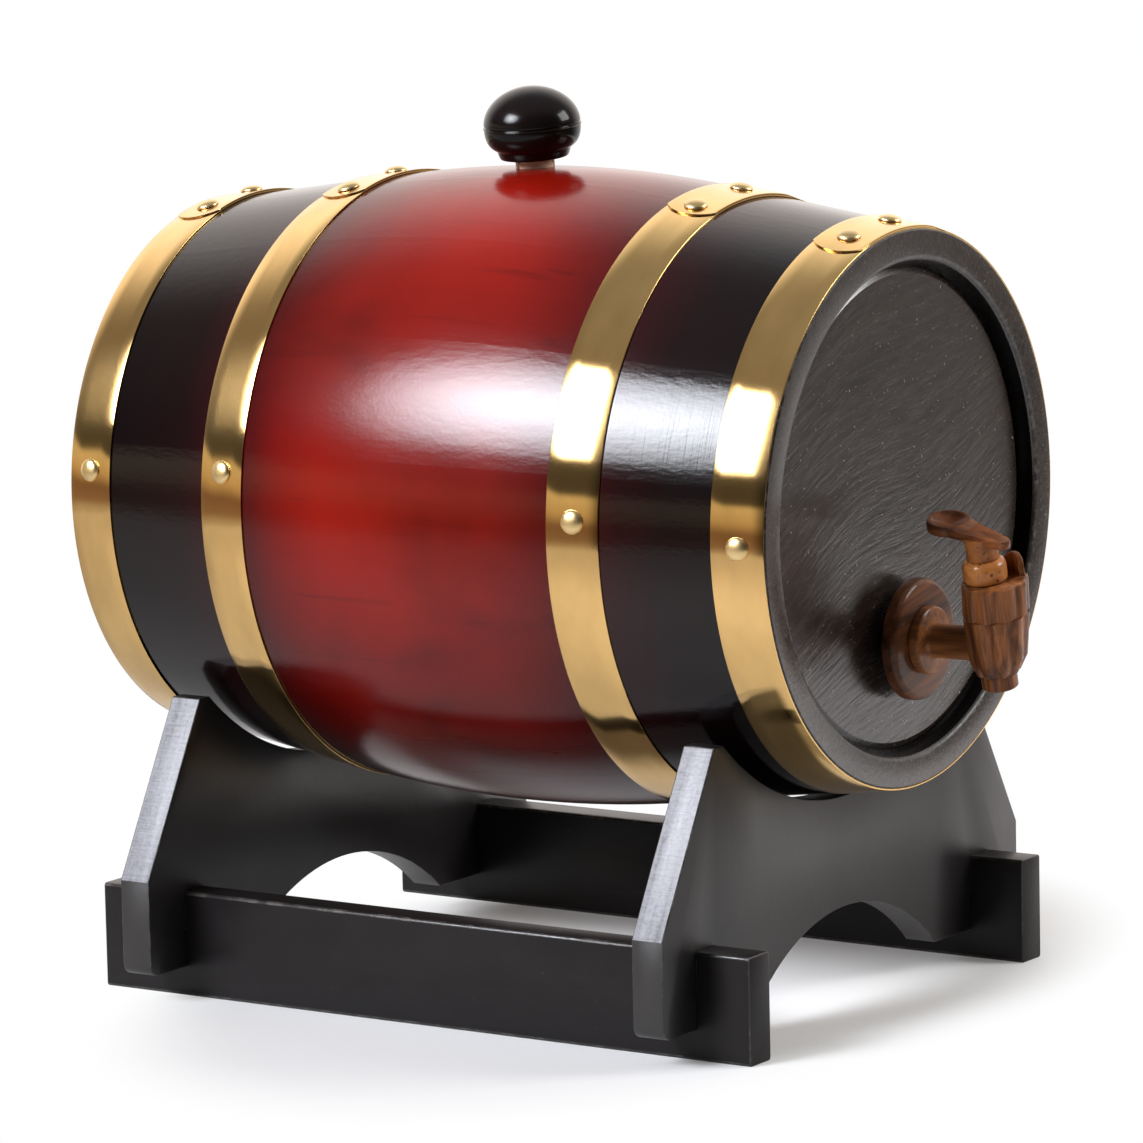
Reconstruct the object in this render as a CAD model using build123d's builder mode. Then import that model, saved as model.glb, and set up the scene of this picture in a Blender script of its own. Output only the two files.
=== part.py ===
from build123d import *

import os
from math import atan, cos, degrees, radians, sin, sqrt, tan

# A small oak cask for spirits, lying on a cradle, with a wooden tap in its front head and a bung on top.
# Millimetres and degrees. +Z is up, the cask lies along Y and its tap faces -Y.
# The origin is on the table, under the middle of the whole object.

# ---- Driving sizes ----

# Cask: two straight shoulders joined by a round belly.
CASK_LENGTH = 326.0
END_RADIUS = 108.4
BELLY_RADIUS = 127.0
BELLY_ARC_LENGTH = 137.0  # the round part's length along the cask
AXIS_HEIGHT = 199.1  # the cask's axis above the table
STAVE_COUNT = 16
STAVE_THICKNESS = 12.0
CHIME_WIDTH = 11.7  # the flat ring at each end of the staves
CHIME_TAPER = 2.8  # how far the wall in front of a head closes in
CROZE_SETBACK = 2.0  # from the head's outer face to its groove
CROZE_WIDTH = 5.0
CROZE_DEPTH = 3.0
CROZE_LAND = 1.0  # cylindrical stretch behind the head
INNER_BEVEL = 12.0  # length over which the bore opens from that stretch to the staves' full hollow

# Heads
HEAD_RECESS = 6.0
HEAD_THICKNESS = 12.0
HEAD_CLEARANCE = 0.15
HEAD_BEVEL_WIDTH = 2.5  # worn edge round a head's outer face
HEAD_BEVEL_DEPTH = 1.2

# Hoops and what fixes them. Angles are round the cask from the top, positive towards -X.
HOOP_WIDTH = 21.5
HOOP_THICKNESS = 0.7
HOOP_CLEARANCE = 0.05
CHIME_HOOP_SETBACK = 0.4
FRONT_QUARTER_DISTANCE = 84.4  # middle of the hoop from the middle of the cask
BACK_QUARTER_DISTANCE = 79.6
LAP_START_ANGLE = -15.0
LAP_END_ANGLES = {"front_chime": 20.6, "front_quarter": 17.6, "back_quarter": 18.0, "back_chime": 20.0}
LAP_END_BULGE = 5.0  # how far the rounded end reaches past its corners
RIVET_ANGLES = (13.8, -2.1)
NEAR_NAIL_ANGLES = {"front_chime": 90.5, "front_quarter": 87.0, "back_quarter": 82.7, "back_chime": 84.5}
FAR_NAIL_ANGLE = -88.0
FASTENER_HEAD_RADIUS = 4.7
FASTENER_HEAD_HEIGHT = 2.3
FASTENER_SHANK_RADIUS = 1.1
FASTENER_BITE = 6.0  # shank length in the wood
FASTENER_CLEARANCE = 0.08
HOLE_OVERRUN = 1.0  # a hole goes this much deeper than its shank

# Bung, measured along its own axis from the cask's skin
BUNG_OFFSET = 9.0  # from the middle of the cask towards its back
BUNG_LEAN = 4.6  # the knob leans to the -X side
BUNG_LEAN_TURN = 12.0  # and that much of the way round towards the back
BUNG_CORK_RADIUS = 7.85
BUNG_CORK_TAPER = 0.7  # less radius at the cork's lower end
BUNG_CORK_DEPTH = 22.0
BUNG_CLEARANCE = 0.1
BUNG_COLLAR_HEIGHT = 3.8  # underside of the knob's collar above the skin
BUNG_COLLAR_RADIUS = 14.2
BUNG_COLLAR_THICKNESS = 2.8
KNOB_RADIUS = 19.35
KNOB_UNDERSIDE = 9.4  # from the top of the collar to the widest level
KNOB_DOME = 16.3  # from the widest level to the top
KNOB_GROOVE_RISE = 0.8  # the scored ring above the widest level
KNOB_GROOVE_DEPTH = 0.6
KNOB_GROOVE_WIDTH = 0.9
COLLAR_FLARE = 0.6  # the collar widens by this much before it turns in
COLLAR_NIP = 0.8  # and is this much narrower where the knob starts
KNOB_TUCK = 2.4  # the knob's underside reaches to this far inside its widest circle
KNOB_TUCK_RISE = 0.5

# Tap. Heights run along the key's axis from the shank's axis.
TAP_DROP = 50.7  # the shank below the cask's axis
TAP_TWIST = 13.5  # the tap is turned about its shank, its top towards -X
TAP_REACH = 41.9  # key's axis in front of the head
FLANGE_RADIUS = 23.8
FLANGE_FACE = 11.0  # in front of the head
FLANGE_THICKNESS = 6.0
FLANGE_EDGE = 2.5
COLLAR_RADIUS = 13.35
COLLAR_THICKNESS = 4.0
COLLAR_EDGE = 0.8
SHANK_RADIUS = 6.65
SHANK_END = 7.2  # from the key's axis, in its socket in the body
SHANK_TAIL_RADIUS = 7.4
SHANK_TAIL_TAPER = 0.6
SHANK_TAIL_INSIDE = 9.0  # how far the tail stands into the cask
SHANK_CLEARANCE = 0.1
CHANNEL_RADIUS = 2.2
BODY_RIM_HEIGHT = 27.2
BODY_RIM_RADIUS = 13.1
BODY_RIM_FORWARD = 3.9  # the body's middle in front of the key's axis at this height
BODY_WAIST_HEIGHT = 13.9
BODY_WAIST_RADIUS = 13.1
BODY_WAIST_FORWARD = 2.6
BODY_HEEL_HEIGHT = -4.5
BODY_HEEL_RADIUS = 11.5
BODY_HEEL_FORWARD = 0.8
BODY_FOOT_HEIGHT = -11.0
BODY_FOOT_RADIUS = 8.6
FLUTE_COUNT = 9
FLUTE_DEPTH = 0.9
SPOUT_BOTTOM = -17.0
SPOUT_RADIUS = 7.1
OUTLET_RADIUS = 3.6
EAR_BEARING = 22.0  # from the tap's side round towards its front
EAR_TOP = 35.6
EAR_OUTER_RADIUS = 12.0
EAR_THICKNESS = 2.3
EAR_WIDTH = 13.2

# Key and its cork. The key is turned a little from the shank's line.
KEY_TURN = 14.0
PLUG_BOTTOM = -5.0
PLUG_TOP_RADIUS = 6.8
PLUG_BOTTOM_RADIUS = 4.5
KEY_CLEARANCE = 0.08
CORK_BAND_RADIUS = 8.7
CORK_BAND_TOP = 36.0
CORK_SHOULDER = 2.6
SPINDLE_RADIUS = 3.1
SPINDLE_CLEARANCE = 0.05
PORT_RADIUS = 2.0
DRAIN_RADIUS = 1.7
NECK_RADIUS = 6.4
LEVER_HEIGHT = 43.8  # underside of the lever on the key's axis
LEVER_SLOPE = 7.0  # the lever falls towards its tip
LEVER_THICKNESS = 3.2
LEVER_ROOT_WIDTH = 13.8
LEVER_ROOT_DEPTH = 4.0  # how far in front of the round end's middle the arm reaches full width
LEVER_TIP_REACH = 14.4
LEVER_TIP_WIDTH = 6.6
LEVER_EDGE = 0.6
DISH_REACH = 16.4  # middle of the round end behind the key's axis
DISH_RIM_RADIUS = 8.6
DISH_RIM_RISE = 1.0  # the round end's rim above the lever's top
DISH_RADIUS = 7.2
DISH_DEPTH = 1.9

# Cradle
RAIL_LENGTH = 305.4
RAIL_HEIGHT = 42.4
RAIL_THICKNESS = 14.7
RAIL_SPREAD = 223.0  # over the rails' outer faces
RAIL_EDGE = 0.8
BOARD_THICKNESS = 13.8
BOARD_WIDTH = 269.2
BOARD_LIFT = 11.8  # the boards' feet above the table
BOARD_CORNER = 4.5
BOARD_EDGE = 0.6
FRONT_BOARD_DISTANCE = 121.9  # middle of the board from the middle of the rails
BACK_BOARD_DISTANCE = 119.6
SHOULDER_HEIGHT = 50.1  # where a board's upright edge turns inwards
TIP_HEIGHT = 118.2
TIP_FLAT = 6.5
SADDLE_EASE = 17.0  # the saddle's radius over the cask's own
SEAT_GAP = 0.3
ARCH_WIDTH = 136.0  # at the boards' feet
ARCH_HEIGHTS = {"front": 39.6, "back": 37.2}
CASK_SHIFT = 1.9  # the cask's middle behind the rails' middle

# ---- Places that follow from the sizes ----

HALF_CASK = CASK_LENGTH / 2
HALF_ARC = BELLY_ARC_LENGTH / 2
FRONT_HEAD_FACE = -HALF_CASK + HEAD_RECESS
TAP_FRONT = FRONT_HEAD_FACE - TAP_REACH - BODY_RIM_FORWARD - BODY_RIM_RADIUS
FOREMOST = min(TAP_FRONT, -CASK_SHIFT - RAIL_LENGTH / 2)
REARMOST = max(HALF_CASK, -CASK_SHIFT + RAIL_LENGTH / 2)
CASK_Y = -(FOREMOST + REARMOST) / 2
STAND_Y = CASK_Y - CASK_SHIFT
CASK_CENTRE = Vector(0, CASK_Y, AXIS_HEIGHT)
CASK_AXIS = Axis(CASK_CENTRE, (0, -1, 0))
WALL_RADIUS = END_RADIUS - CHIME_WIDTH - CHIME_TAPER  # in front of and behind a head


def shoulder_slope():
    """Angle of the straight shoulders, which are tangent to the belly's arc."""
    drop = BELLY_RADIUS - END_RADIUS
    half_tangent = 0.0
    for _ in range(30):
        cubic = HALF_ARC * half_tangent**3 - drop * half_tangent**2
        half_tangent = (drop + cubic) / (CASK_LENGTH - HALF_ARC)
    return 2 * atan(half_tangent)


SLOPE = shoulder_slope()
ARC_RADIUS = HALF_ARC / sin(SLOPE)


def cask_radius(distance):
    """Outer radius of the cask at a distance along it from its middle."""
    distance = abs(distance)
    if distance < HALF_ARC:
        return BELLY_RADIUS - ARC_RADIUS + sqrt(ARC_RADIUS**2 - distance**2)
    return END_RADIUS + (HALF_CASK - distance) * tan(SLOPE)


def stave_plane(turn):
    """Plane through the cask's axis: x runs along the cask, y outwards at the given angle from the top."""
    across = (cos(radians(turn)), 0, sin(radians(turn)))
    return Plane(origin=CASK_CENTRE, x_dir=(0, 1, 0), z_dir=across)


# ---- Hoops, rivets and nails: where they sit ----


def hoop_span(name):
    """Where a hoop starts and ends along the cask, from the cask's middle."""
    middles = {
        "front_chime": -HALF_CASK + CHIME_HOOP_SETBACK + HOOP_WIDTH / 2,
        "front_quarter": -FRONT_QUARTER_DISTANCE,
        "back_quarter": BACK_QUARTER_DISTANCE,
        "back_chime": HALF_CASK - CHIME_HOOP_SETBACK - HOOP_WIDTH / 2,
    }
    return middles[name] - HOOP_WIDTH / 2, middles[name] + HOOP_WIDTH / 2


HOOPS = ("front_chime", "front_quarter", "back_quarter", "back_chime")


def hoop_line(name, lift):
    """Two points of a straight strip that clears the staves, raised by lift from its inner face."""
    start, end = hoop_span(name)
    bulge = cask_radius((start + end) / 2) - (cask_radius(start) + cask_radius(end)) / 2
    rise = bulge + HOOP_CLEARANCE + lift
    return (start, cask_radius(start) + rise), (end, cask_radius(end) + rise)


def hoop_seat(name, turn, lift):
    """Plane on a hoop's middle line, its z pointing straight out of the strip."""
    (start, start_radius), (end, end_radius) = hoop_line(name, lift)
    tilt = atan((end_radius - start_radius) / (end - start))
    outward = Vector(-sin(radians(turn)), 0, cos(radians(turn)))
    middle = CASK_CENTRE + Vector(0, (start + end) / 2, 0) + outward * ((start_radius + end_radius) / 2)
    normal = outward * cos(tilt) - Vector(0, 1, 0) * sin(tilt)
    along = Vector(0, 1, 0) * cos(tilt) + outward * sin(tilt)
    return Plane(origin=middle, x_dir=along, z_dir=normal)


def fastener_angles(name, kind):
    """Where a hoop's rivets or nails sit round the cask."""
    if kind == "rivets":
        return RIVET_ANGLES
    return NEAR_NAIL_ANGLES[name], FAR_NAIL_ANGLE


def fastener_seats(name, kind):
    """Seats of a hoop's rivets, on its double lap, or of its nails, on the single strip."""
    layers = 2 if kind == "rivets" else 1
    return [hoop_seat(name, turn, layers * HOOP_THICKNESS) for turn in fastener_angles(name, kind)]


HOLE_DEPTH = 2 * HOOP_THICKNESS + FASTENER_BITE + HOLE_OVERRUN


def drill_fastener_holes(seats):
    """Cuts a clearance hole for each fastener into the part being built."""
    with Locations(*[seat.location for seat in seats]):
        Cylinder(
            FASTENER_SHANK_RADIUS + FASTENER_CLEARANCE,
            HOLE_DEPTH,
            align=(Align.CENTER, Align.CENTER, Align.MAX),
            mode=Mode.SUBTRACT,
        )


# ---- Bung axis and tap frame ----

BUNG_SKIN = CASK_CENTRE + Vector(0, BUNG_OFFSET, cask_radius(BUNG_OFFSET))
BUNG_PLANE = Plane(
    origin=BUNG_SKIN,
    x_dir=(1, 0, 0),
    z_dir=(
        -sin(radians(BUNG_LEAN)) * cos(radians(BUNG_LEAN_TURN)),
        sin(radians(BUNG_LEAN)) * sin(radians(BUNG_LEAN_TURN)),
        cos(radians(BUNG_LEAN)),
    ),
)
BUNG_PROFILE_PLANE = Plane(origin=BUNG_SKIN, x_dir=BUNG_PLANE.x_dir, z_dir=-BUNG_PLANE.y_dir)
BUNG_AXIS = Axis(BUNG_SKIN, BUNG_PLANE.z_dir)

TAP_Z = AXIS_HEIGHT - TAP_DROP
HEAD_FACE_Y = CASK_Y + FRONT_HEAD_FACE
KEY_UP = Vector(-sin(radians(TAP_TWIST)), 0, cos(radians(TAP_TWIST)))
KEY_SIDE = Vector(cos(radians(TAP_TWIST)), 0, sin(radians(TAP_TWIST)))
KEY_FOOT = Vector(0, HEAD_FACE_Y - TAP_REACH, TAP_Z)
KEY_ACROSS = KEY_SIDE * cos(radians(KEY_TURN)) - Vector(0, 1, 0) * sin(radians(KEY_TURN))
KEY_BACK = Vector(0, 1, 0) * cos(radians(KEY_TURN)) + KEY_SIDE * sin(radians(KEY_TURN))
KEY_AXIS = Axis(KEY_FOOT, KEY_UP)
SHANK_AXIS = Axis((0, HEAD_FACE_Y, TAP_Z), (0, -1, 0))
SHANK_PLANE = Plane(origin=(0, HEAD_FACE_Y, TAP_Z), x_dir=(0, -1, 0), z_dir=-KEY_SIDE)
KEY_PROFILE_PLANE = Plane(origin=KEY_FOOT, x_dir=(0, -1, 0), z_dir=-KEY_SIDE)
PORT_PLANE = Plane(origin=KEY_FOOT, x_dir=KEY_BACK, z_dir=KEY_ACROSS)


def body_plane(height, forward=0.0):
    """Plane square to the key's axis: x to the side, y towards the cask."""
    origin = KEY_FOOT + KEY_UP * height + Vector(0, -forward, 0)
    return Plane(origin=origin, x_dir=KEY_SIDE, z_dir=KEY_UP)


def tail_profile(clearance):
    """Tapered tail of the shank, from the head's outer face to inside the cask, as (forward, radius)."""
    depth = HEAD_THICKNESS + SHANK_TAIL_INSIDE
    return [(0, SHANK_TAIL_RADIUS + clearance), (-depth, SHANK_TAIL_RADIUS - SHANK_TAIL_TAPER + clearance)]


def bung_cork_profile(clearance):
    """Tapered side of the bung's cork from its upper to its lower end, as (radius, height)."""
    return [
        (BUNG_CORK_RADIUS + clearance, BUNG_COLLAR_HEIGHT),
        (BUNG_CORK_RADIUS - BUNG_CORK_TAPER + clearance, -BUNG_CORK_DEPTH),
    ]


# ---- Parts ----

os.makedirs("parts", exist_ok=True)


def save(builder, name):
    """Labels a finished piece and writes it as its own file."""
    builder.part.label = name
    export_step(builder.part, f"parts/{name}.step")


def croze_outline(end):
    """Inner side of a stave by one head, from the cask's end inwards; end is -1 or 1."""
    head_outer = HALF_CASK - HEAD_RECESS
    croze_outer = head_outer - CROZE_SETBACK
    croze_inner = croze_outer - CROZE_WIDTH
    land_end = head_outer - HEAD_THICKNESS - CROZE_LAND
    bevel_end = land_end - INNER_BEVEL
    hollow = cask_radius(bevel_end) - STAVE_THICKNESS / cos(SLOPE)
    points = [
        (HALF_CASK, WALL_RADIUS + CHIME_TAPER),
        (head_outer, WALL_RADIUS),
        (croze_outer, WALL_RADIUS),
        (croze_outer, WALL_RADIUS + CROZE_DEPTH),
        (croze_inner, WALL_RADIUS + CROZE_DEPTH),
        (croze_inner, WALL_RADIUS),
        (land_end, WALL_RADIUS),
        (bevel_end, hollow),
    ]
    return [(end * along, radius) for along, radius in points]


ARC_END = (HALF_ARC, cask_radius(HALF_ARC))
INNER_ARC_END = (
    HALF_ARC - STAVE_THICKNESS * sin(SLOPE),
    cask_radius(HALF_ARC) - STAVE_THICKNESS * cos(SLOPE),
)
STAVE_PITCH = 360 / STAVE_COUNT
HOLE_REACH = degrees(2 * FASTENER_SHANK_RADIUS / END_RADIUS)  # a hole this near a joint cuts both staves


def angle_gap(turn, other):
    """Smallest angle between two directions round the cask."""
    return abs((turn - other + 180) % 360 - 180)


def make_stave(index):
    """One stave: its long section turned through one pitch, so its edges meet its neighbours'."""
    middle = index * STAVE_PITCH
    front, back = croze_outline(-1), croze_outline(1)
    with BuildPart() as stave:
        with BuildSketch(stave_plane(middle - STAVE_PITCH / 2)):
            with BuildLine():
                Line((-HALF_CASK, END_RADIUS), (-ARC_END[0], ARC_END[1]))
                ThreePointArc((-ARC_END[0], ARC_END[1]), (0, BELLY_RADIUS), ARC_END)
                Line(ARC_END, (HALF_CASK, END_RADIUS))
                Polyline((HALF_CASK, END_RADIUS), *back, INNER_ARC_END)
                ThreePointArc(
                    INNER_ARC_END,
                    (0, BELLY_RADIUS - STAVE_THICKNESS),
                    (-INNER_ARC_END[0], INNER_ARC_END[1]),
                )
                Polyline((-INNER_ARC_END[0], INNER_ARC_END[1]), *reversed(front), (-HALF_CASK, END_RADIUS))
            make_face()
        revolve(axis=CASK_AXIS, revolution_arc=STAVE_PITCH)
        for name in HOOPS:
            for kind in ("rivets", "nails"):
                for turn, seat in zip(fastener_angles(name, kind), fastener_seats(name, kind)):
                    if angle_gap(turn, middle) < STAVE_PITCH / 2 + HOLE_REACH:
                        drill_fastener_holes([seat])
        if index == 0:
            with BuildSketch(BUNG_PROFILE_PLANE) as bung_hole:
                with BuildLine():
                    top, bottom = bung_cork_profile(BUNG_CLEARANCE)
                    Polyline((0, top[1]), top, bottom, (0, bottom[1]), close=True)
                make_face()
            revolve(axis=BUNG_AXIS, mode=Mode.SUBTRACT)
    return stave


for stave_index in range(STAVE_COUNT):
    save(make_stave(stave_index), f"stave_{stave_index + 1:02d}")


def make_head(end):
    """Round head with a tongue that stands in the staves' groove; end is -1 for the front."""
    outer = HALF_CASK - HEAD_RECESS
    tongue_outer = outer - CROZE_SETBACK - HEAD_CLEARANCE
    tongue_inner = outer - CROZE_SETBACK - CROZE_WIDTH + HEAD_CLEARANCE
    rim = WALL_RADIUS - HEAD_CLEARANCE
    tongue = rim + CROZE_DEPTH
    half_section = [
        (outer, 0),
        (outer, rim - HEAD_BEVEL_WIDTH),
        (outer - HEAD_BEVEL_DEPTH, rim),
        (tongue_outer, rim),
        (tongue_outer, tongue),
        (tongue_inner, tongue),
        (tongue_inner, rim),
        (outer - HEAD_THICKNESS, rim),
        (outer - HEAD_THICKNESS, 0),
    ]
    with BuildPart() as head:
        with BuildSketch(stave_plane(0)):
            with BuildLine():
                Polyline(*[(end * along, radius) for along, radius in half_section], close=True)
            make_face()
        revolve(axis=CASK_AXIS)
        if end < 0:
            with BuildSketch(SHANK_PLANE):
                with BuildLine():
                    mouth, tip = tail_profile(SHANK_CLEARANCE)
                    Polyline((0, 0), mouth, tip, (tip[0], 0), close=True)
                make_face()
            revolve(axis=SHANK_AXIS, mode=Mode.SUBTRACT)
    return head


save(make_head(-1), "front_head")
save(make_head(1), "back_head")


def make_hoop(name):
    """Conical strip round the cask; its outer end laps over the top and is rounded."""
    lap_end = LAP_END_ANGLES[name]
    half_lap = (lap_end - LAP_START_ANGLE) / 2
    with BuildPart() as lap:
        with BuildSketch(stave_plane(LAP_START_ANGLE)):
            with BuildLine():
                low = hoop_line(name, HOOP_THICKNESS)
                high = hoop_line(name, 2 * HOOP_THICKNESS)
                Polyline(low[0], low[1], high[1], high[0], close=True)
            make_face()
        revolve(axis=CASK_AXIS, revolution_arc=2 * half_lap)
        reach = (low[0][1] + low[1][1]) / 2 * sin(radians(half_lap))
        corner = reach - LAP_END_BULGE
        with BuildSketch(hoop_seat(name, lap_end - half_lap, 2 * HOOP_THICKNESS)):
            with BuildLine():
                Polyline(
                    (HOOP_WIDTH, corner),
                    (HOOP_WIDTH, -reach - 1),
                    (-HOOP_WIDTH, -reach - 1),
                    (-HOOP_WIDTH, corner),
                    (-HOOP_WIDTH / 2, corner),
                )
                ThreePointArc((-HOOP_WIDTH / 2, corner), (0, reach), (HOOP_WIDTH / 2, corner))
                Line((HOOP_WIDTH / 2, corner), (HOOP_WIDTH, corner))
            make_face()
        extrude(amount=2 * FASTENER_BITE, both=True, mode=Mode.INTERSECT)
    with BuildPart() as hoop:
        with BuildSketch(stave_plane(0)):
            with BuildLine():
                inner = hoop_line(name, 0)
                outer = hoop_line(name, HOOP_THICKNESS)
                Polyline(inner[0], inner[1], outer[1], outer[0], close=True)
            make_face()
        revolve(axis=CASK_AXIS)
        add(lap.part)
        drill_fastener_holes(fastener_seats(name, "rivets") + fastener_seats(name, "nails"))
    return hoop


def make_fasteners(name, kind):
    """A hoop's rivets or nails: domed heads on the strip, shanks through it into the wood."""
    layers = 2 if kind == "rivets" else 1
    shank = layers * HOOP_THICKNESS + HOOP_CLEARANCE + FASTENER_BITE
    with BuildPart() as one:
        with BuildSketch(Plane.XZ):
            with BuildLine():
                ThreePointArc(
                    (0, FASTENER_HEAD_HEIGHT),
                    (FASTENER_HEAD_RADIUS * sin(radians(40)), FASTENER_HEAD_HEIGHT * cos(radians(40))),
                    (FASTENER_HEAD_RADIUS, 0),
                )
                Polyline(
                    (FASTENER_HEAD_RADIUS, 0),
                    (FASTENER_SHANK_RADIUS, 0),
                    (FASTENER_SHANK_RADIUS, -shank),
                    (0, -shank),
                    (0, FASTENER_HEAD_HEIGHT),
                )
            make_face()
        revolve(axis=Axis.Z)
    with BuildPart() as group:
        with Locations(*[seat.location for seat in fastener_seats(name, kind)]):
            add(one.part)
    return group


for hoop_name in HOOPS:
    save(make_hoop(hoop_name), f"hoop_{hoop_name}")
    save(make_fasteners(hoop_name, "rivets"), f"rivets_{hoop_name}")
    save(make_fasteners(hoop_name, "nails"), f"nails_{hoop_name}")

# Bung: a turned knob on a tapered cork.
KNOB_WIDEST = BUNG_COLLAR_HEIGHT + BUNG_COLLAR_THICKNESS + KNOB_UNDERSIDE
with BuildPart() as bung_knob:
    with BuildSketch(BUNG_PROFILE_PLANE):
        with BuildLine():
            collar_top = BUNG_COLLAR_HEIGHT + BUNG_COLLAR_THICKNESS
            collar_top_radius = BUNG_COLLAR_RADIUS + COLLAR_FLARE
            knob_foot_radius = BUNG_COLLAR_RADIUS - COLLAR_NIP
            Polyline(
                (0, KNOB_WIDEST + KNOB_DOME),
                (0, BUNG_COLLAR_HEIGHT),
                (BUNG_COLLAR_RADIUS, BUNG_COLLAR_HEIGHT),
                (collar_top_radius, collar_top - COLLAR_FLARE),
                (knob_foot_radius, collar_top),
            )
            Bezier(
                (knob_foot_radius, collar_top),
                (KNOB_RADIUS - KNOB_TUCK, collar_top + KNOB_TUCK_RISE),
                (KNOB_RADIUS, KNOB_WIDEST - KNOB_UNDERSIDE / 2),
                (KNOB_RADIUS, KNOB_WIDEST),
            )
            Bezier(
                (KNOB_RADIUS, KNOB_WIDEST),
                (KNOB_RADIUS, KNOB_WIDEST + 0.56 * KNOB_DOME),
                (0.56 * KNOB_RADIUS, KNOB_WIDEST + KNOB_DOME),
                (0, KNOB_WIDEST + KNOB_DOME),
            )
        make_face()
    revolve(axis=BUNG_AXIS)
    with BuildSketch(BUNG_PROFILE_PLANE):
        with Locations((KNOB_RADIUS, KNOB_WIDEST + KNOB_GROOVE_RISE)):
            Rectangle(2 * KNOB_GROOVE_DEPTH, KNOB_GROOVE_WIDTH)
    revolve(axis=BUNG_AXIS, mode=Mode.SUBTRACT)
save(bung_knob, "bung_knob")

with BuildPart() as bung_cork:
    with BuildSketch(BUNG_PROFILE_PLANE):
        with BuildLine():
            cork_top, cork_bottom = bung_cork_profile(0)
            Polyline((0, cork_top[1]), cork_top, cork_bottom, (0, cork_bottom[1]), close=True)
        make_face()
    revolve(axis=BUNG_AXIS)
save(bung_cork, "bung_cork")

# Tap flange: a washer on the shank, pushed up to its collar and clear of the head.
with BuildPart() as tap_flange:
    with BuildSketch(SHANK_PLANE):
        with BuildLine():
            inner_radius = SHANK_TAIL_RADIUS + SHANK_CLEARANCE
            flange_back = FLANGE_FACE - FLANGE_THICKNESS
            Polyline(
                (FLANGE_FACE, FLANGE_RADIUS - FLANGE_EDGE),
                (FLANGE_FACE, inner_radius),
                (flange_back, inner_radius),
                (flange_back, FLANGE_RADIUS),
                (FLANGE_FACE - FLANGE_EDGE, FLANGE_RADIUS),
            )
            ThreePointArc(
                (FLANGE_FACE - FLANGE_EDGE, FLANGE_RADIUS),
                (FLANGE_FACE - 0.3 * FLANGE_EDGE, FLANGE_RADIUS - 0.3 * FLANGE_EDGE),
                (FLANGE_FACE, FLANGE_RADIUS - FLANGE_EDGE),
            )
        make_face()
    revolve(axis=SHANK_AXIS)
save(tap_flange, "tap_flange")

# Tap shank: turned in one piece, from the tail inside the cask to the socket in the body.
with BuildPart() as tap_shank:
    with BuildSketch(SHANK_PLANE):
        with BuildLine():
            tail_top, tail_end = tail_profile(0)
            collar_face = FLANGE_FACE + COLLAR_THICKNESS
            Polyline(
                (tail_end[0], CHANNEL_RADIUS),
                tail_end,
                tail_top,
                (FLANGE_FACE, SHANK_TAIL_RADIUS),
                (FLANGE_FACE, COLLAR_RADIUS),
                (collar_face - COLLAR_EDGE, COLLAR_RADIUS),
                (collar_face, COLLAR_RADIUS - COLLAR_EDGE),
                (collar_face, SHANK_RADIUS),
                (TAP_REACH - SHANK_END, SHANK_RADIUS),
                (TAP_REACH - SHANK_END, CHANNEL_RADIUS),
                close=True,
            )
        make_face()
    revolve(axis=SHANK_AXIS)
save(tap_shank, "tap_shank")


def lobed_outline(radius):
    """Closed ring of convex lobes; a lobe's crest faces the front."""
    valley = radius - FLUTE_DEPTH
    half = 180 / FLUTE_COUNT

    def at(angle, distance):
        turn = radians(angle - 90)
        return distance * cos(turn), distance * sin(turn)

    for lobe in range(FLUTE_COUNT):
        middle = lobe * 2 * half
        ThreePointArc(at(middle - half, valley), at(middle, radius), at(middle + half, valley))


# The ear: part of the body's rim left standing above the bore, with a round top.
EAR_OUTWARD = KEY_SIDE * cos(radians(EAR_BEARING)) - Vector(0, 1, 0) * sin(radians(EAR_BEARING))
with BuildPart() as ear:
    with BuildSketch(body_plane(0, BODY_RIM_FORWARD)) as ear_wall:
        Circle(EAR_OUTER_RADIUS)
        Circle(EAR_OUTER_RADIUS - EAR_THICKNESS, mode=Mode.SUBTRACT)
    extrude(amount=EAR_TOP)
    rim_middle = body_plane(0, BODY_RIM_FORWARD).origin
    with BuildSketch(Plane(origin=rim_middle, x_dir=EAR_OUTWARD.cross(KEY_UP), z_dir=EAR_OUTWARD)):
        ear_foot = BODY_RIM_HEIGHT - 1
        ear_shoulder = EAR_TOP - EAR_WIDTH / 2
        with Locations((0, -ear_shoulder)):
            Circle(EAR_WIDTH / 2)
        with Locations((0, -(ear_foot + ear_shoulder) / 2)):
            Rectangle(EAR_WIDTH, ear_shoulder - ear_foot)
    extrude(amount=EAR_OUTER_RADIUS + 1, mode=Mode.INTERSECT)

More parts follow.
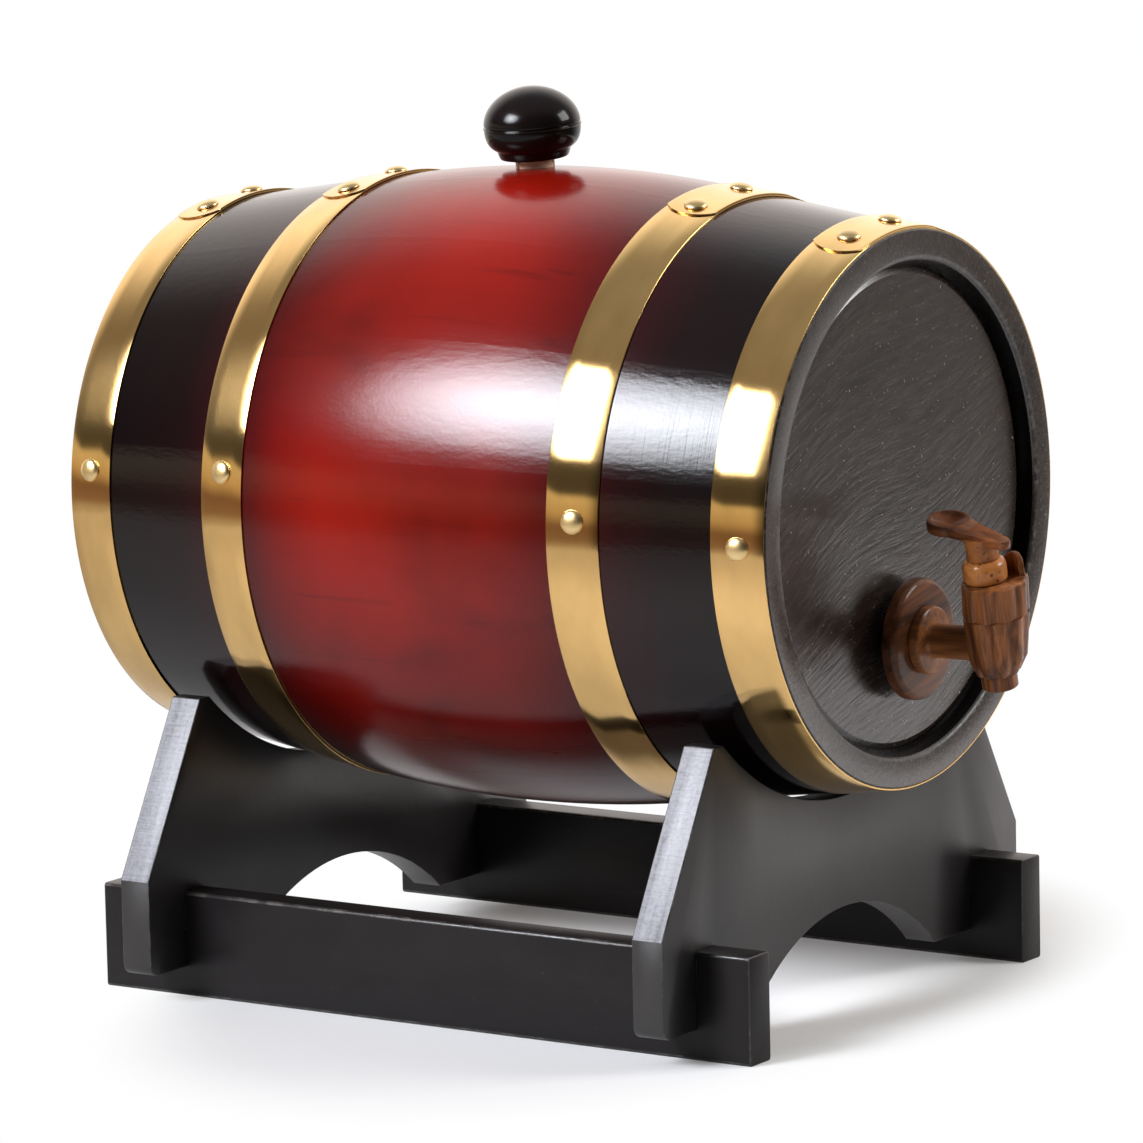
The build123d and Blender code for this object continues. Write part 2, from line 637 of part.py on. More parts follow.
# Tap body: a fluted, tapered block with the key's bore down it, the spout below and the ear in front.
PLUG_SLOPE = (PLUG_TOP_RADIUS - PLUG_BOTTOM_RADIUS) / (BODY_RIM_HEIGHT - PLUG_BOTTOM)
BODY_SECTIONS = (
    (BODY_FOOT_HEIGHT, BODY_FOOT_RADIUS, 0.0),
    (BODY_HEEL_HEIGHT, BODY_HEEL_RADIUS, BODY_HEEL_FORWARD),
    (BODY_WAIST_HEIGHT, BODY_WAIST_RADIUS, BODY_WAIST_FORWARD),
    (BODY_RIM_HEIGHT, BODY_RIM_RADIUS, BODY_RIM_FORWARD),
)
with BuildPart() as tap_body:
    for height, radius, forward in BODY_SECTIONS:
        with BuildSketch(body_plane(height, forward)):
            with BuildLine():
                lobed_outline(radius)
            make_face()
    loft(ruled=True)
    with BuildSketch(body_plane(SPOUT_BOTTOM)):
        Circle(SPOUT_RADIUS)
    extrude(amount=BODY_FOOT_HEIGHT - SPOUT_BOTTOM + 1)
    add(ear.part)
    with BuildSketch(KEY_PROFILE_PLANE):
        with BuildLine():
            bore_top = PLUG_TOP_RADIUS + KEY_CLEARANCE
            bore_bottom = PLUG_BOTTOM_RADIUS + KEY_CLEARANCE
            bore_floor = PLUG_BOTTOM - SEAT_GAP
            Polyline(
                (0, BODY_RIM_HEIGHT + 1),
                (bore_top + PLUG_SLOPE, BODY_RIM_HEIGHT + 1),
                (bore_bottom, PLUG_BOTTOM),
                (bore_bottom, bore_floor),
                (OUTLET_RADIUS, bore_floor),
                (OUTLET_RADIUS, SPOUT_BOTTOM - 1),
                (0, SPOUT_BOTTOM - 1),
                close=True,
            )
        make_face()
    revolve(axis=KEY_AXIS, mode=Mode.SUBTRACT)
    with BuildSketch(SHANK_PLANE):
        with BuildLine():
            socket_floor = TAP_REACH - SHANK_END + SHANK_CLEARANCE
            socket_mouth = TAP_REACH - 2 * BODY_HEEL_RADIUS
            Polyline(
                (socket_mouth, 0),
                (socket_mouth, SHANK_RADIUS + SHANK_CLEARANCE),
                (socket_floor, SHANK_RADIUS + SHANK_CLEARANCE),
                (socket_floor, CHANNEL_RADIUS),
                (TAP_REACH, CHANNEL_RADIUS),
                (TAP_REACH, 0),
                close=True,
            )
        make_face()
    revolve(axis=SHANK_AXIS, mode=Mode.SUBTRACT)
save(tap_body, "tap_body")

# Key cork: a tapered sleeve in the bore with a band that stands above the rim.
with BuildPart() as key_cork:
    with BuildSketch(KEY_PROFILE_PLANE):
        with BuildLine():
            band_foot = BODY_RIM_HEIGHT + SEAT_GAP
            sleeve = SPINDLE_RADIUS + SPINDLE_CLEARANCE
            Polyline(
                (CORK_BAND_RADIUS - CORK_SHOULDER, CORK_BAND_TOP),
                (sleeve, CORK_BAND_TOP),
                (sleeve, PLUG_BOTTOM),
                (PLUG_BOTTOM_RADIUS, PLUG_BOTTOM),
                (PLUG_TOP_RADIUS, BODY_RIM_HEIGHT),
                (PLUG_TOP_RADIUS, band_foot),
                (CORK_BAND_RADIUS, band_foot),
                (CORK_BAND_RADIUS, CORK_BAND_TOP - CORK_SHOULDER),
            )
            ThreePointArc(
                (CORK_BAND_RADIUS, CORK_BAND_TOP - CORK_SHOULDER),
                (CORK_BAND_RADIUS - 0.3 * CORK_SHOULDER, CORK_BAND_TOP - 0.3 * CORK_SHOULDER),
                (CORK_BAND_RADIUS - CORK_SHOULDER, CORK_BAND_TOP),
            )
        make_face()
    revolve(axis=KEY_AXIS)
    with BuildSketch(PORT_PLANE):
        Circle(PORT_RADIUS)
    extrude(amount=PLUG_TOP_RADIUS, mode=Mode.SUBTRACT)
save(key_cork, "key_cork")

# Key: spindle, neck and a sloping lever with a dished round end over the shank.
LEVER_NORMAL = KEY_UP * cos(radians(LEVER_SLOPE)) - KEY_BACK * sin(radians(LEVER_SLOPE))
LEVER_PLANE = Plane(origin=KEY_FOOT + KEY_UP * LEVER_HEIGHT, x_dir=KEY_ACROSS, z_dir=LEVER_NORMAL)
DISH_BALL_RADIUS = (DISH_RADIUS**2 + DISH_DEPTH**2) / (2 * DISH_DEPTH)
with BuildPart() as key_lever:
    with BuildSketch(LEVER_PLANE):
        with Locations((0, DISH_REACH - LEVER_ROOT_DEPTH)):
            Rectangle(LEVER_ROOT_WIDTH, 1)
        with Locations((0, LEVER_TIP_WIDTH / 2 - LEVER_TIP_REACH)):
            Circle(LEVER_TIP_WIDTH / 2)
        make_hull()
    extrude(amount=LEVER_THICKNESS)
    with BuildSketch(LEVER_PLANE):
        with Locations((0, DISH_REACH)):
            Circle(DISH_RIM_RADIUS)
    extrude(amount=LEVER_THICKNESS + DISH_RIM_RISE)
    rim_edges = key_lever.edges().filter_by(GeomType.CIRCLE).group_by(Axis(LEVER_PLANE.origin, LEVER_NORMAL))
    fillet(rim_edges[-1], LEVER_EDGE)
    ball_height = LEVER_THICKNESS + DISH_RIM_RISE - DISH_DEPTH + DISH_BALL_RADIUS
    with Locations((LEVER_PLANE * Location((0, DISH_REACH, ball_height)))):
        Sphere(DISH_BALL_RADIUS, mode=Mode.SUBTRACT)
    with BuildSketch(body_plane(CORK_BAND_TOP)):
        Circle(NECK_RADIUS)
    extrude(amount=LEVER_HEIGHT - CORK_BAND_TOP + LEVER_THICKNESS / 2)
    with BuildSketch(body_plane(PLUG_BOTTOM)):
        Circle(SPINDLE_RADIUS)
    extrude(amount=CORK_BAND_TOP - PLUG_BOTTOM)
    with BuildSketch(PORT_PLANE):
        Circle(PORT_RADIUS)
    extrude(amount=PLUG_TOP_RADIUS, mode=Mode.SUBTRACT)
    with BuildSketch(body_plane(PLUG_BOTTOM)):
        Circle(DRAIN_RADIUS)
    extrude(amount=PORT_RADIUS / 2 - PLUG_BOTTOM, mode=Mode.SUBTRACT)
save(key_lever, "key_lever")

# Cradle: boards and rails are halved into each other, the rails notched from above, the boards from below.
LAP_HEIGHT = (BOARD_LIFT + RAIL_HEIGHT) / 2
RAIL_X = RAIL_SPREAD / 2 - RAIL_THICKNESS / 2
BOARD_PLACES = {"front": -FRONT_BOARD_DISTANCE, "back": BACK_BOARD_DISTANCE}


def make_rail(side):
    """Long rail under one side; side is -1 or 1."""
    with BuildPart() as rail:
        with BuildSketch(Plane((side * RAIL_X, STAND_Y, 0))):
            Rectangle(RAIL_THICKNESS, RAIL_LENGTH)
        extrude(amount=RAIL_HEIGHT)
        chamfer(rail.edges().filter_by(Axis.Y), RAIL_EDGE)
        for place in BOARD_PLACES.values():
            with BuildSketch(Plane((side * RAIL_X, STAND_Y + place, LAP_HEIGHT))):
                Rectangle(2 * RAIL_THICKNESS, BOARD_THICKNESS)
            extrude(amount=RAIL_HEIGHT, mode=Mode.SUBTRACT)
    return rail


def make_board(name):
    """Cross board: a saddle for the cask above, an arch below, and horns outside the rails."""
    place = BOARD_PLACES[name]
    inner_face = abs(place) - BOARD_THICKNESS / 2
    cask_distance = inner_face + CASK_SHIFT * (1 if place < 0 else -1)
    seat_radius = cask_radius(cask_distance)
    saddle_radius = seat_radius + SADDLE_EASE
    saddle_floor = AXIS_HEIGHT - seat_radius - SEAT_GAP
    saddle_half = sqrt(saddle_radius**2 - (saddle_floor + saddle_radius - TIP_HEIGHT) ** 2)
    arch_half = ARCH_WIDTH / 2
    half = BOARD_WIDTH / 2
    tip = saddle_half + TIP_FLAT
    with BuildPart() as board:
        with BuildSketch(Plane(origin=(0, STAND_Y + place, 0), x_dir=(1, 0, 0), z_dir=(0, -1, 0))):
            with BuildLine():
                ThreePointArc((-arch_half, BOARD_LIFT), (0, ARCH_HEIGHTS[name]), (arch_half, BOARD_LIFT))
                Polyline(
                    (arch_half, BOARD_LIFT),
                    (half, BOARD_LIFT),
                    (half, SHOULDER_HEIGHT),
                    (tip, TIP_HEIGHT),
                    (saddle_half, TIP_HEIGHT),
                )
                ThreePointArc((saddle_half, TIP_HEIGHT), (0, saddle_floor), (-saddle_half, TIP_HEIGHT))
                Polyline(
                    (-saddle_half, TIP_HEIGHT),
                    (-tip, TIP_HEIGHT),
                    (-half, SHOULDER_HEIGHT),
                    (-half, BOARD_LIFT),
                    (-arch_half, BOARD_LIFT),
                )
            make_face()
        extrude(amount=BOARD_THICKNESS / 2, both=True)
        corners = board.edges().filter_by(Axis.Y).filter_by_position(Axis.Z, BOARD_LIFT - 1, BOARD_LIFT + 1)
        fillet(corners.sort_by(Axis.X)[0], BOARD_CORNER)
        corners = board.edges().filter_by(Axis.Y).filter_by_position(Axis.Z, BOARD_LIFT - 1, BOARD_LIFT + 1)
        fillet(corners.sort_by(Axis.X)[-1], BOARD_CORNER)
        for side in (-1, 1):
            with BuildSketch(Plane((side * RAIL_X, STAND_Y + place, LAP_HEIGHT))):
                Rectangle(RAIL_THICKNESS, 2 * BOARD_THICKNESS)
            extrude(amount=-RAIL_HEIGHT, mode=Mode.SUBTRACT)
    return board


save(make_rail(-1), "left_rail")
save(make_rail(1), "right_rail")
save(make_board("front"), "front_board")
save(make_board("back"), "back_board")
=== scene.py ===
# %% [markdown]
# # A small oak cask on its cradle
# A spirits cask of about ten litres lies in two saddle boards. It has brass hoops, a wooden tap and a corked bung.
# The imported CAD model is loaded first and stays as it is. Everything that is built below either takes the place of
# one of its nodes, with finer edges and smoother curves, or gives a node its finish.

# %% Load the frame
from math import atan, atan2, cos, hypot, pi, radians, sin, sqrt, tan

import bmesh
import bpy
from mathutils import Matrix, Vector
from mathutils.geometry import interpolate_bezier


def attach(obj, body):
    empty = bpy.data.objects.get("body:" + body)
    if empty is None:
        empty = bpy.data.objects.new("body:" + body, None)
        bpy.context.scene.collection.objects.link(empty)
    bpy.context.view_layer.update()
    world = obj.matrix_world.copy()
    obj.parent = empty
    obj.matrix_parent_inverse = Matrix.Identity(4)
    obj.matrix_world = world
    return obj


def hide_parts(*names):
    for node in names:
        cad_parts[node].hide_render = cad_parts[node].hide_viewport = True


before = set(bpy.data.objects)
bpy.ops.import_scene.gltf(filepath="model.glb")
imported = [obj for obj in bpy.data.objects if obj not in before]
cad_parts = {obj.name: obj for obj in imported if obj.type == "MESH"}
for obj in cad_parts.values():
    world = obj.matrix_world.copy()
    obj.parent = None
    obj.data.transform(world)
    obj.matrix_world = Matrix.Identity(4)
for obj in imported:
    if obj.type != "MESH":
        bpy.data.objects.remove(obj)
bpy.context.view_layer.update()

MM = 0.001


def add_object(name, data):
    """A new object in the scene."""
    thing = bpy.data.objects.new(name, data)
    bpy.context.scene.collection.objects.link(thing)
    return thing


# %% [markdown]
# ## Camera
# The cask is seen from its left, a little from above, with a long lens, so its lines hardly converge. The camera is
# placed by its own centre and by the way it looks: turned round the cask, raised, and rolled a little.

# %% Camera
CAMERA_CENTRE = Vector((-2199.9, -1437.55, 579.1)) * MM
CAMERA_TURN = radians(-56.43045)
CAMERA_RISE = radians(8.94021)
CAMERA_ROLL = radians(-1.22187)
FRAME_WIDTH = 1143.0
FOCAL_LENGTH = 6673.5  # in the same steps as the frame's width

back = Vector((sin(CAMERA_TURN) * cos(CAMERA_RISE), -cos(CAMERA_TURN) * cos(CAMERA_RISE), sin(CAMERA_RISE)))
level_right = Vector((cos(CAMERA_TURN), sin(CAMERA_TURN), 0))
level_up = back.cross(level_right)
right = level_right * cos(CAMERA_ROLL) + level_up * sin(CAMERA_ROLL)
up = level_up * cos(CAMERA_ROLL) - level_right * sin(CAMERA_ROLL)

camera_data = bpy.data.cameras.new("camera")
camera_data.sensor_width = 36
camera_data.lens = FOCAL_LENGTH / FRAME_WIDTH * camera_data.sensor_width
camera = add_object("camera", camera_data)
camera.matrix_world = Matrix.Translation(CAMERA_CENTRE) @ Matrix((right, up, back)).transposed().to_4x4()
bpy.context.scene.camera = camera
print("lens", round(camera_data.lens, 2), "mm")

# %% [markdown]
# ## Studio
# Two soft boxes light the cask, one high on its left and one in front of its tap. Brass and lacquer show the whole
# room, so the room matters. It is dim on the cask's left, with an amber band at the horizon, dull on the right, white
# behind the cask and unlit behind the camera. The world holds it, and only the camera sees it as plain white.

# %% World
scene = bpy.context.scene
scene.view_settings.view_transform = "Standard"
world = bpy.data.worlds.new("studio")
scene.world = world
world.use_nodes = True
room = world.node_tree


def put(tree, kind, inputs=None, **options):
    """Adds a shader node, sets its options, and sets or links its inputs."""
    node = tree.nodes.new("ShaderNode" + kind)
    for name, value in options.items():
        setattr(node, name, value)
    for name, value in (inputs or {}).items():
        if isinstance(value, bpy.types.NodeSocket):
            tree.links.new(value, node.inputs[name])
        else:
            node.inputs[name].default_value = value
    return node


def grade(tree, value, stops, smooth=False):
    """Colour ramp from (place, colour) stops; a bare number is a grey."""
    ramp = put(tree, "ValToRGB", {"Fac": value})
    ramp.color_ramp.interpolation = "EASE" if smooth else "LINEAR"
    elements = ramp.color_ramp.elements
    while len(elements) < len(stops):
        elements.new(1.0)
    for element, (place, colour) in zip(elements, stops):
        element.position = place
        colour = (colour,) * 3 if isinstance(colour, (int, float)) else colour
        element.color = (*colour, 1)
    return ramp.outputs["Color"]


def reckon(tree, operation, first, second=0.5, third=0.5):
    """One step of arithmetic on numbers or sockets."""
    return put(tree, "Math", {0: first, 1: second, 2: third}, operation=operation).outputs[0]


def weigh(tree, total, *parts):
    """Adds numbers to a total, each times its weight."""
    for part, weight in parts:
        total = reckon(tree, "MULTIPLY_ADD", part, weight, total)
    return total


def combine(tree, operation, first, second=(0, 0, 0), output="Vector"):
    """One step of arithmetic on vectors."""
    return put(tree, "VectorMath", {0: first, 1: second}, operation=operation).outputs[output]


def mix(tree, amount, first, second, blend="MIX"):
    """Mixes two colours."""
    first, second = (c if isinstance(c, bpy.types.NodeSocket) else (*c, 1) for c in (first, second))
    return put(tree, "Mix", {0: amount, 6: first, 7: second}, data_type="RGBA", blend_type=blend).outputs[2]


def axis(tree, vector, name):
    """One number of a vector."""
    return put(tree, "SeparateXYZ", {0: vector}).outputs[name]


ray = put(room, "TexCoord").outputs["Generated"]
height = reckon(room, "MULTIPLY_ADD", axis(room, ray, "Z"), 0.5, 0.5)  # 0.5 at the horizon
DIM_SIDE = [
    (0.34, (0.66, 0.64, 0.62)), (0.40, (0.50, 0.46, 0.42)), (0.42, (0.28, 0.19, 0.14)), (0.46, (0.22, 0.14, 0.10)),
    (0.495, (0.60, 0.47, 0.31)), (0.545, (0.74, 0.66, 0.48)), (0.556, (0.08, 0.075, 0.07)), (0.60, (0.08, 0.075, 0.07)),
    (0.66, (0.10, 0.095, 0.09)), (0.80, (0.22, 0.20, 0.18)), (1.0, (0.34, 0.34, 0.35)),
]
RIGHT_SIDE = [
    (0.40, (0.10, 0.085, 0.075)), (0.48, (0.13, 0.105, 0.09)), (0.54, (0.34, 0.29, 0.26)), (0.62, (0.40, 0.37, 0.35)),
    (1.0, 0.40),
]
BACKDROP = [
    (0.40, 0.90), (0.50, (1.20, 1.15, 1.11)), (0.56, (1.50, 1.38, 1.31)), (0.80, (1.50, 1.38, 1.30)),
    (0.93, (1.00, 1.02, 1.04)), (1.0, (0.5, 0.5, 0.52)),
]
TO_RIGHT, TO_BACKDROP, TO_CAMERA = (1, 0, 0), (0.83, 0.56, 0), (-0.64, -0.77, 0)


def facing(way, stops):
    """Brightness that depends on how nearly a ray points a given way."""
    return grade(room, combine(room, "DOT_PRODUCT", ray, way, "Value"), stops, smooth=True)


dim_side, right_side, backdrop = (grade(room, height, stops) for stops in (DIM_SIDE, RIGHT_SIDE, BACKDROP))
walls = mix(room, facing(TO_RIGHT, [(0.0, 0.0), (0.4, 1.0)]), dim_side, right_side)
walls = mix(room, facing(TO_BACKDROP, [(0.3, 0.0), (0.75, 1.0)]), walls, backdrop)
walls = mix(room, 1.0, walls, facing(TO_CAMERA, [(0.42, 1.0), (0.78, 0.12)]), "MULTIPLY")
seen = put(room, "LightPath").outputs["Is Camera Ray"]
glow = put(room, "Background", {"Color": (1, 1, 1, 1)})
shade = put(room, "Background", {"Color": walls})
both = put(room, "MixShader", {0: seen, 1: shade.outputs[0], 2: glow.outputs[0]})
room.links.new(both.outputs[0], room.nodes["World Output"].inputs["Surface"])
print("world nodes", len(room.nodes))

# %% Soft boxes
CASK_CENTRE = Vector((0, 26.45, 199.1)) * MM


def soft_box(name, towards, distance, side, watts, tint, spread=180, aim=(0, 0, 0)):
    """A square lamp that faces the cask, or a point beside its centre. A narrow spread gives it a hot middle."""
    lamp = bpy.data.lights.new(name, "AREA")
    lamp.shape = "RECTANGLE"
    lamp.size = lamp.size_y = side
    lamp.energy = watts
    lamp.color = tint
    lamp.spread = radians(spread)
    box = add_object(name, lamp)
    towards = Vector(towards).normalized()
    box.location = CASK_CENTRE + towards * distance
    box.rotation_euler = (towards * distance - Vector(aim)).to_track_quat("Z", "Y").to_euler()


soft_box("left_box", (-0.80, 0.345, 0.565), 1.3, 0.70, 3.0, (0.90, 0.93, 1.0), 38, (0, -0.04, 0))
soft_box("front_box", (0.466, -0.738, 0.484), 1.5, 0.62, 11.0, (1.0, 0.99, 0.97))

# %% [markdown]
# The floor is pale paper. To the camera it fades into white a little way from the cask, where the shadows end. In
# reflections it is brighter on both sides than under the cask.

# %% Floor
FLOOR_RADIUS = 1.05
FADE_SQUEEZE = (0.65, 1, 1)  # the fade starts later along X

floor_material = bpy.data.materials.new("pale_floor")
floor_material.use_nodes = True
tree = floor_material.node_tree
paper = tree.nodes["Principled BSDF"]
paper.inputs["Roughness"].default_value = 0.9
paper.inputs["Specular IOR Level"].default_value = 0.1
path = put(tree, "LightPath")
seen, in_gloss = path.outputs["Is Camera Ray"], path.outputs["Is Glossy Ray"]
tree.links.new(mix(tree, seen, (0.60, 0.60, 0.60), (0.72, 0.72, 0.72)), paper.inputs["Base Color"])
place = put(tree, "TexCoord").outputs["Object"]
to_right = reckon(tree, "ADD", axis(tree, place, "X"), 0.5)
sides = grade(tree, to_right, [(0.10, 0.34), (0.35, 0.12), (0.48, 0.0), (0.58, 0.10), (0.9, 0.65)], smooth=True)
strength = reckon(tree, "MULTIPLY_ADD", seen, 0.11, reckon(tree, "MULTIPLY", in_gloss, sides))
lift_tint = mix(tree, seen, (1.0, 0.94, 0.93), (1.0, 1.0, 1.0))
lift = put(tree, "Emission", {"Color": lift_tint, "Strength": strength})
lit = put(tree, "AddShader", {0: paper.outputs[0], 1: lift.outputs[0]})
reach = combine(tree, "LENGTH", combine(tree, "MULTIPLY", place, FADE_SQUEEZE), output="Value")
fade = reckon(tree, "MULTIPLY", grade(tree, reach, [(0.13, 0.0), (0.18, 1.0)], smooth=True), seen)
clear = put(tree, "Emission")
edge = put(tree, "MixShader", {0: fade, 1: lit.outputs[0], 2: clear.outputs[0]})
tree.links.new(edge.outputs[0], tree.nodes["Material Output"].inputs["Surface"])

bm = bmesh.new()
bmesh.ops.create_circle(bm, cap_ends=True, segments=64, radius=FLOOR_RADIUS)
floor_mesh = bpy.data.meshes.new("floor")
bm.to_mesh(floor_mesh)
bm.free()
floor_mesh.materials.append(floor_material)
floor = add_object("floor", floor_mesh)
print("floor radius", FLOOR_RADIUS, "m")

# %% [markdown]
# ## Finishes
# Each finish is built from the object's own coordinates, so it runs on from one stave to the next, as stain and
# lacquer do. A helper stretches noise along the grain, because wood and brushed brass both have a direction.

# %% Helpers for finishes


def new_finish(name, **values):
    """A material whose shader has the given even values, and its tree."""
    material = bpy.data.materials.new(name)
    material.use_nodes = True
    shader = material.node_tree.nodes["Principled BSDF"]
    for socket, value in values.items():
        shader.inputs[socket.replace("_", " ")].default_value = value
    return material, material.node_tree


def along(tree, centre=(0, 0, 0), turn=(0, 0, 0), stretch=(1, 1, 1)):
    """Object coordinates moved to a centre, turned into the grain's direction and stretched."""
    place = put(tree, "TexCoord").outputs["Object"]
    moved = combine(tree, "SUBTRACT", place, centre)
    turned = put(tree, "Mapping", {"Vector": moved, "Rotation": turn}, vector_type="POINT").outputs[0]
    return combine(tree, "MULTIPLY", turned, stretch)


def noise(tree, vector, scale=1.0, detail=3.0, rough=0.5, distort=0.0):
    """Noise between 0 and 1."""
    inputs = {"Vector": vector, "Scale": scale, "Detail": detail, "Roughness": rough, "Distortion": distort}
    return put(tree, "TexNoise", inputs).outputs["Fac"]


def fibres(tree, grained, long, across, detail=3.0, rough=0.6, distort=0.0):
    """Noise drawn out along X: how often it changes in a metre along the grain, and across it."""
    return noise(tree, combine(tree, "MULTIPLY", grained, (long, across, across)), 1.0, detail, rough, distort)


def bump(tree, height, distance, strength=1.0, normal=None):
    """Relief on the surface; the distance is how deep it goes."""
    inputs = {"Height": height, "Distance": distance, "Strength": strength}
    if normal is not None:
        inputs["Normal"] = normal
    return put(tree, "Bump", inputs).outputs[0]


def wire(material, **sockets):
    """Links sockets to the shader's inputs, and gives the finished material back."""
    tree = material.node_tree
    for name, socket in sockets.items():
        tree.links.new(socket, tree.nodes["Principled BSDF"].inputs[name.replace("_", " ")])
    return material


# %% [markdown]
# ### Lacquer
# The cask is stained black at both ends and red in its belly, sprayed so that one fades into the other, and then
# coated with a thick clear gloss. A ramp over the distance from the cask's middle gives the fade, and noise breaks
# it up. Both colours are also darkened towards the underside as painted shade. The clear coat has a faint ripple
# and, on the black, the scratches of brushed lacquer.

# %% Lacquer
HALF_CASK = 163.0 * MM
BURST_SHIFT = 6.0 * MM  # the red is centred this far in front of the cask's middle
BURST_DRIFT = 35.0 * MM  # and its edge wanders by this much
BURST = [
    (0.00, (0.27, 0.0066, 0.0025)), (0.22, (0.245, 0.0058, 0.0023)), (0.36, (0.15, 0.0032, 0.0020)),
    (0.46, (0.062, 0.0028, 0.0030)), (0.56, (0.024, 0.0024, 0.0034)), (0.68, (0.008, 0.0022, 0.0026)),
    (1.0, (0.003, 0.0020, 0.0020)),
]


def lacquer():
    material, tree = new_finish(
        "red_burst_lacquer", Roughness=0.38, Coat_Weight=1.0, Coat_IOR=1.4, Specular_IOR_Level=0.0
    )
    spot = along(tree, CASK_CENTRE)
    far = reckon(tree, "ABSOLUTE", reckon(tree, "ADD", axis(tree, spot, "Y"), BURST_SHIFT))
    cloud = noise(tree, along(tree, CASK_CENTRE, stretch=(1, 0.7, 1)), 13.0, 3.0, 0.55, 0.4)
    drift = reckon(tree, "MULTIPLY_ADD", reckon(tree, "SUBTRACT", cloud, 0.5), BURST_DRIFT, far)
    fade = reckon(tree, "DIVIDE", drift, HALF_CASK)
    stain_and_shade = grade(tree, fade, BURST)
    shade_height = reckon(tree, "MULTIPLY_ADD", axis(tree, spot, "Z"), 3.8, 0.5)  # 0 under the belly, 1 on top
    grain = noise(tree, along(tree, CASK_CENTRE, stretch=(120, 5, 120)), 1.0, 4.0, 0.6, 0.8)
    # The third of these is painted shade: it darkens the colour towards the underside.
    for shade in (
        grade(tree, cloud, [(0.28, 0.50), (0.50, 0.88), (0.72, 1.1)], smooth=True),
        grade(tree, noise(tree, spot, 5.0, 1.0), [(0.35, 0.7), (0.6, 1.0)], smooth=True),
        grade(tree, shade_height, [(0.06, 0.38), (0.2, 0.55), (0.42, 0.88), (0.6, 1.0)]),
        grade(tree, grain, [(0.30, 0.72), (0.40, 1.0)]),
    ):
        stain_and_shade = mix(tree, 1.0, stain_and_shade, shade, "MULTIPLY")
    peel = noise(tree, spot, 620.0, 2.0, 0.6)
    ripple = noise(tree, along(tree, CASK_CENTRE, stretch=(420, 130, 420)), 1.0, 2.0, 0.5)
    streak = noise(tree, along(tree, CASK_CENTRE, stretch=(14, 1300, 14)), 1.0, 2.0, 0.6)
    at_ends = grade(tree, fade, [(0.5, 0.0), (0.62, 1.0)])
    scratch = reckon(tree, "MULTIPLY", grade(tree, streak, [(0.56, 0.0), (0.66, 1.0)]), at_ends)
    relief = weigh(tree, 0.0, (peel, 0.35), (ripple, 0.7), (scratch, -0.12))
    gloss = grade(tree, fade, [(0.3, 0.16), (0.62, 0.105)])
    wear = grade(tree, noise(tree, spot, 22.0, 3.0), [(0.3, 0.0), (0.7, 0.03)])
    return wire(
        material,
        Base_Color=stain_and_shade,
        Coat_Normal=bump(tree, relief, 0.06 * MM),
        Normal=bump(tree, reckon(tree, "ADD", grain, peel), 0.1 * MM, 0.6),
        Coat_Roughness=reckon(tree, "ADD", gloss, wear),
    )


LACQUER = lacquer()
print("finish", LACQUER.name)

# %% [markdown]
# ### Stained oak
# The heads and the rings at the staves' ends are stained black and left satin, so the oak's open pores still show as
# pale flecks. On the heads the grain runs up to the right in a slow curve. The wall of the recess in front of a head
# is painted nearly black, as painted shade, and the wall of the bung hole is bare.

# %% Stained oak
DARK_STAIN, LIGHT_STAIN, PALE_PORE = (0.0125, 0.0072, 0.0052), (0.0290, 0.0178, 0.0130), (0.40, 0.36, 0.33)


def stained_oak(name, grain_turn, fleck=1.0, bend=0.0, shine=0.85, tone_scale=1.0, depth=0.16):
    """Oak whose grain lies along X once the coordinates are turned. Its relief is given in millimetres."""
    material, tree = new_finish(name, Specular_IOR_Level=shine)
    spot = along(tree, CASK_CENTRE)
    sway = reckon(tree, "MULTIPLY", noise(tree, spot, 4.5, 1.0), bend)
    sway = put(tree, "CombineXYZ", {"Z": sway}).outputs[0]
    grained = combine(tree, "ADD", along(tree, CASK_CENTRE, turn=grain_turn), sway)
    bands = fibres(tree, grained, 9, 110, rough=0.55)
    ridges = fibres(tree, grained, 75, 520, rough=0.55)
    fine = fibres(tree, grained, 30, 2200, 2.0, rough=0.55)
    dark, light = (tuple(v * tone_scale for v in tone) for tone in (DARK_STAIN, LIGHT_STAIN))
    tone = grade(tree, bands, [(0.3, dark), (0.7, light)])
    pores = grade(tree, noise(tree, spot, 820.0, 1.0), [(0.735, 0.0), (0.775, 1.0)])
    satin = weigh(tree, 0.0, (ridges, 0.6), (fine, 0.4))
    relief = weigh(tree, ridges, (bands, 0.8), (fine, 0.2))
    return wire(
        material,
        Base_Color=mix(tree, reckon(tree, "MULTIPLY", pores, fleck), tone, PALE_PORE),
        Roughness=grade(tree, satin, [(0.3, 0.19), (0.7, 0.32)]),
        Normal=bump(tree, relief, depth * MM, 0.9),
    )


HEAD_OAK = stained_oak("stained_head_oak", (0, radians(20), 0), bend=0.10)
ALONG_STAVE = (0, 0, radians(90))
CHIME_OAK = stained_oak("stained_chime_oak", ALONG_STAVE, fleck=0.5, shine=1.0, tone_scale=1.2, depth=0.05)
# Painted shade: the recess wall's tone is a tenth of the stain's, so the shaded recess reads nearly black.
SHADED_RECESS_OAK = stained_oak("shade_darkened_recess_oak", ALONG_STAVE, fleck=0.0, shine=0.05, tone_scale=0.1, depth=0.05)
BARE_OAK = stained_oak("bare_bung_hole_oak", ALONG_STAVE, fleck=0.0, shine=0.2, tone_scale=9.0, depth=0.05)
for name in ("front_head", "back_head"):
    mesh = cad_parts[name].data
    mesh.materials.clear()
    mesh.materials.append(HEAD_OAK)
print("finishes", [m.name for m in (HEAD_OAK, CHIME_OAK, SHADED_RECESS_OAK, BARE_OAK)])

# %% [markdown]
# ### Brass
# The hoops are cut from polished strip. The polishing wheel leaves fine lines along the strip, round the cask, so the
# relief changes quickly across the hoop and slowly round it, and light is spread across the strip and not along it.
# Faint clouds in the roughness stand for handling.

# %% Brass


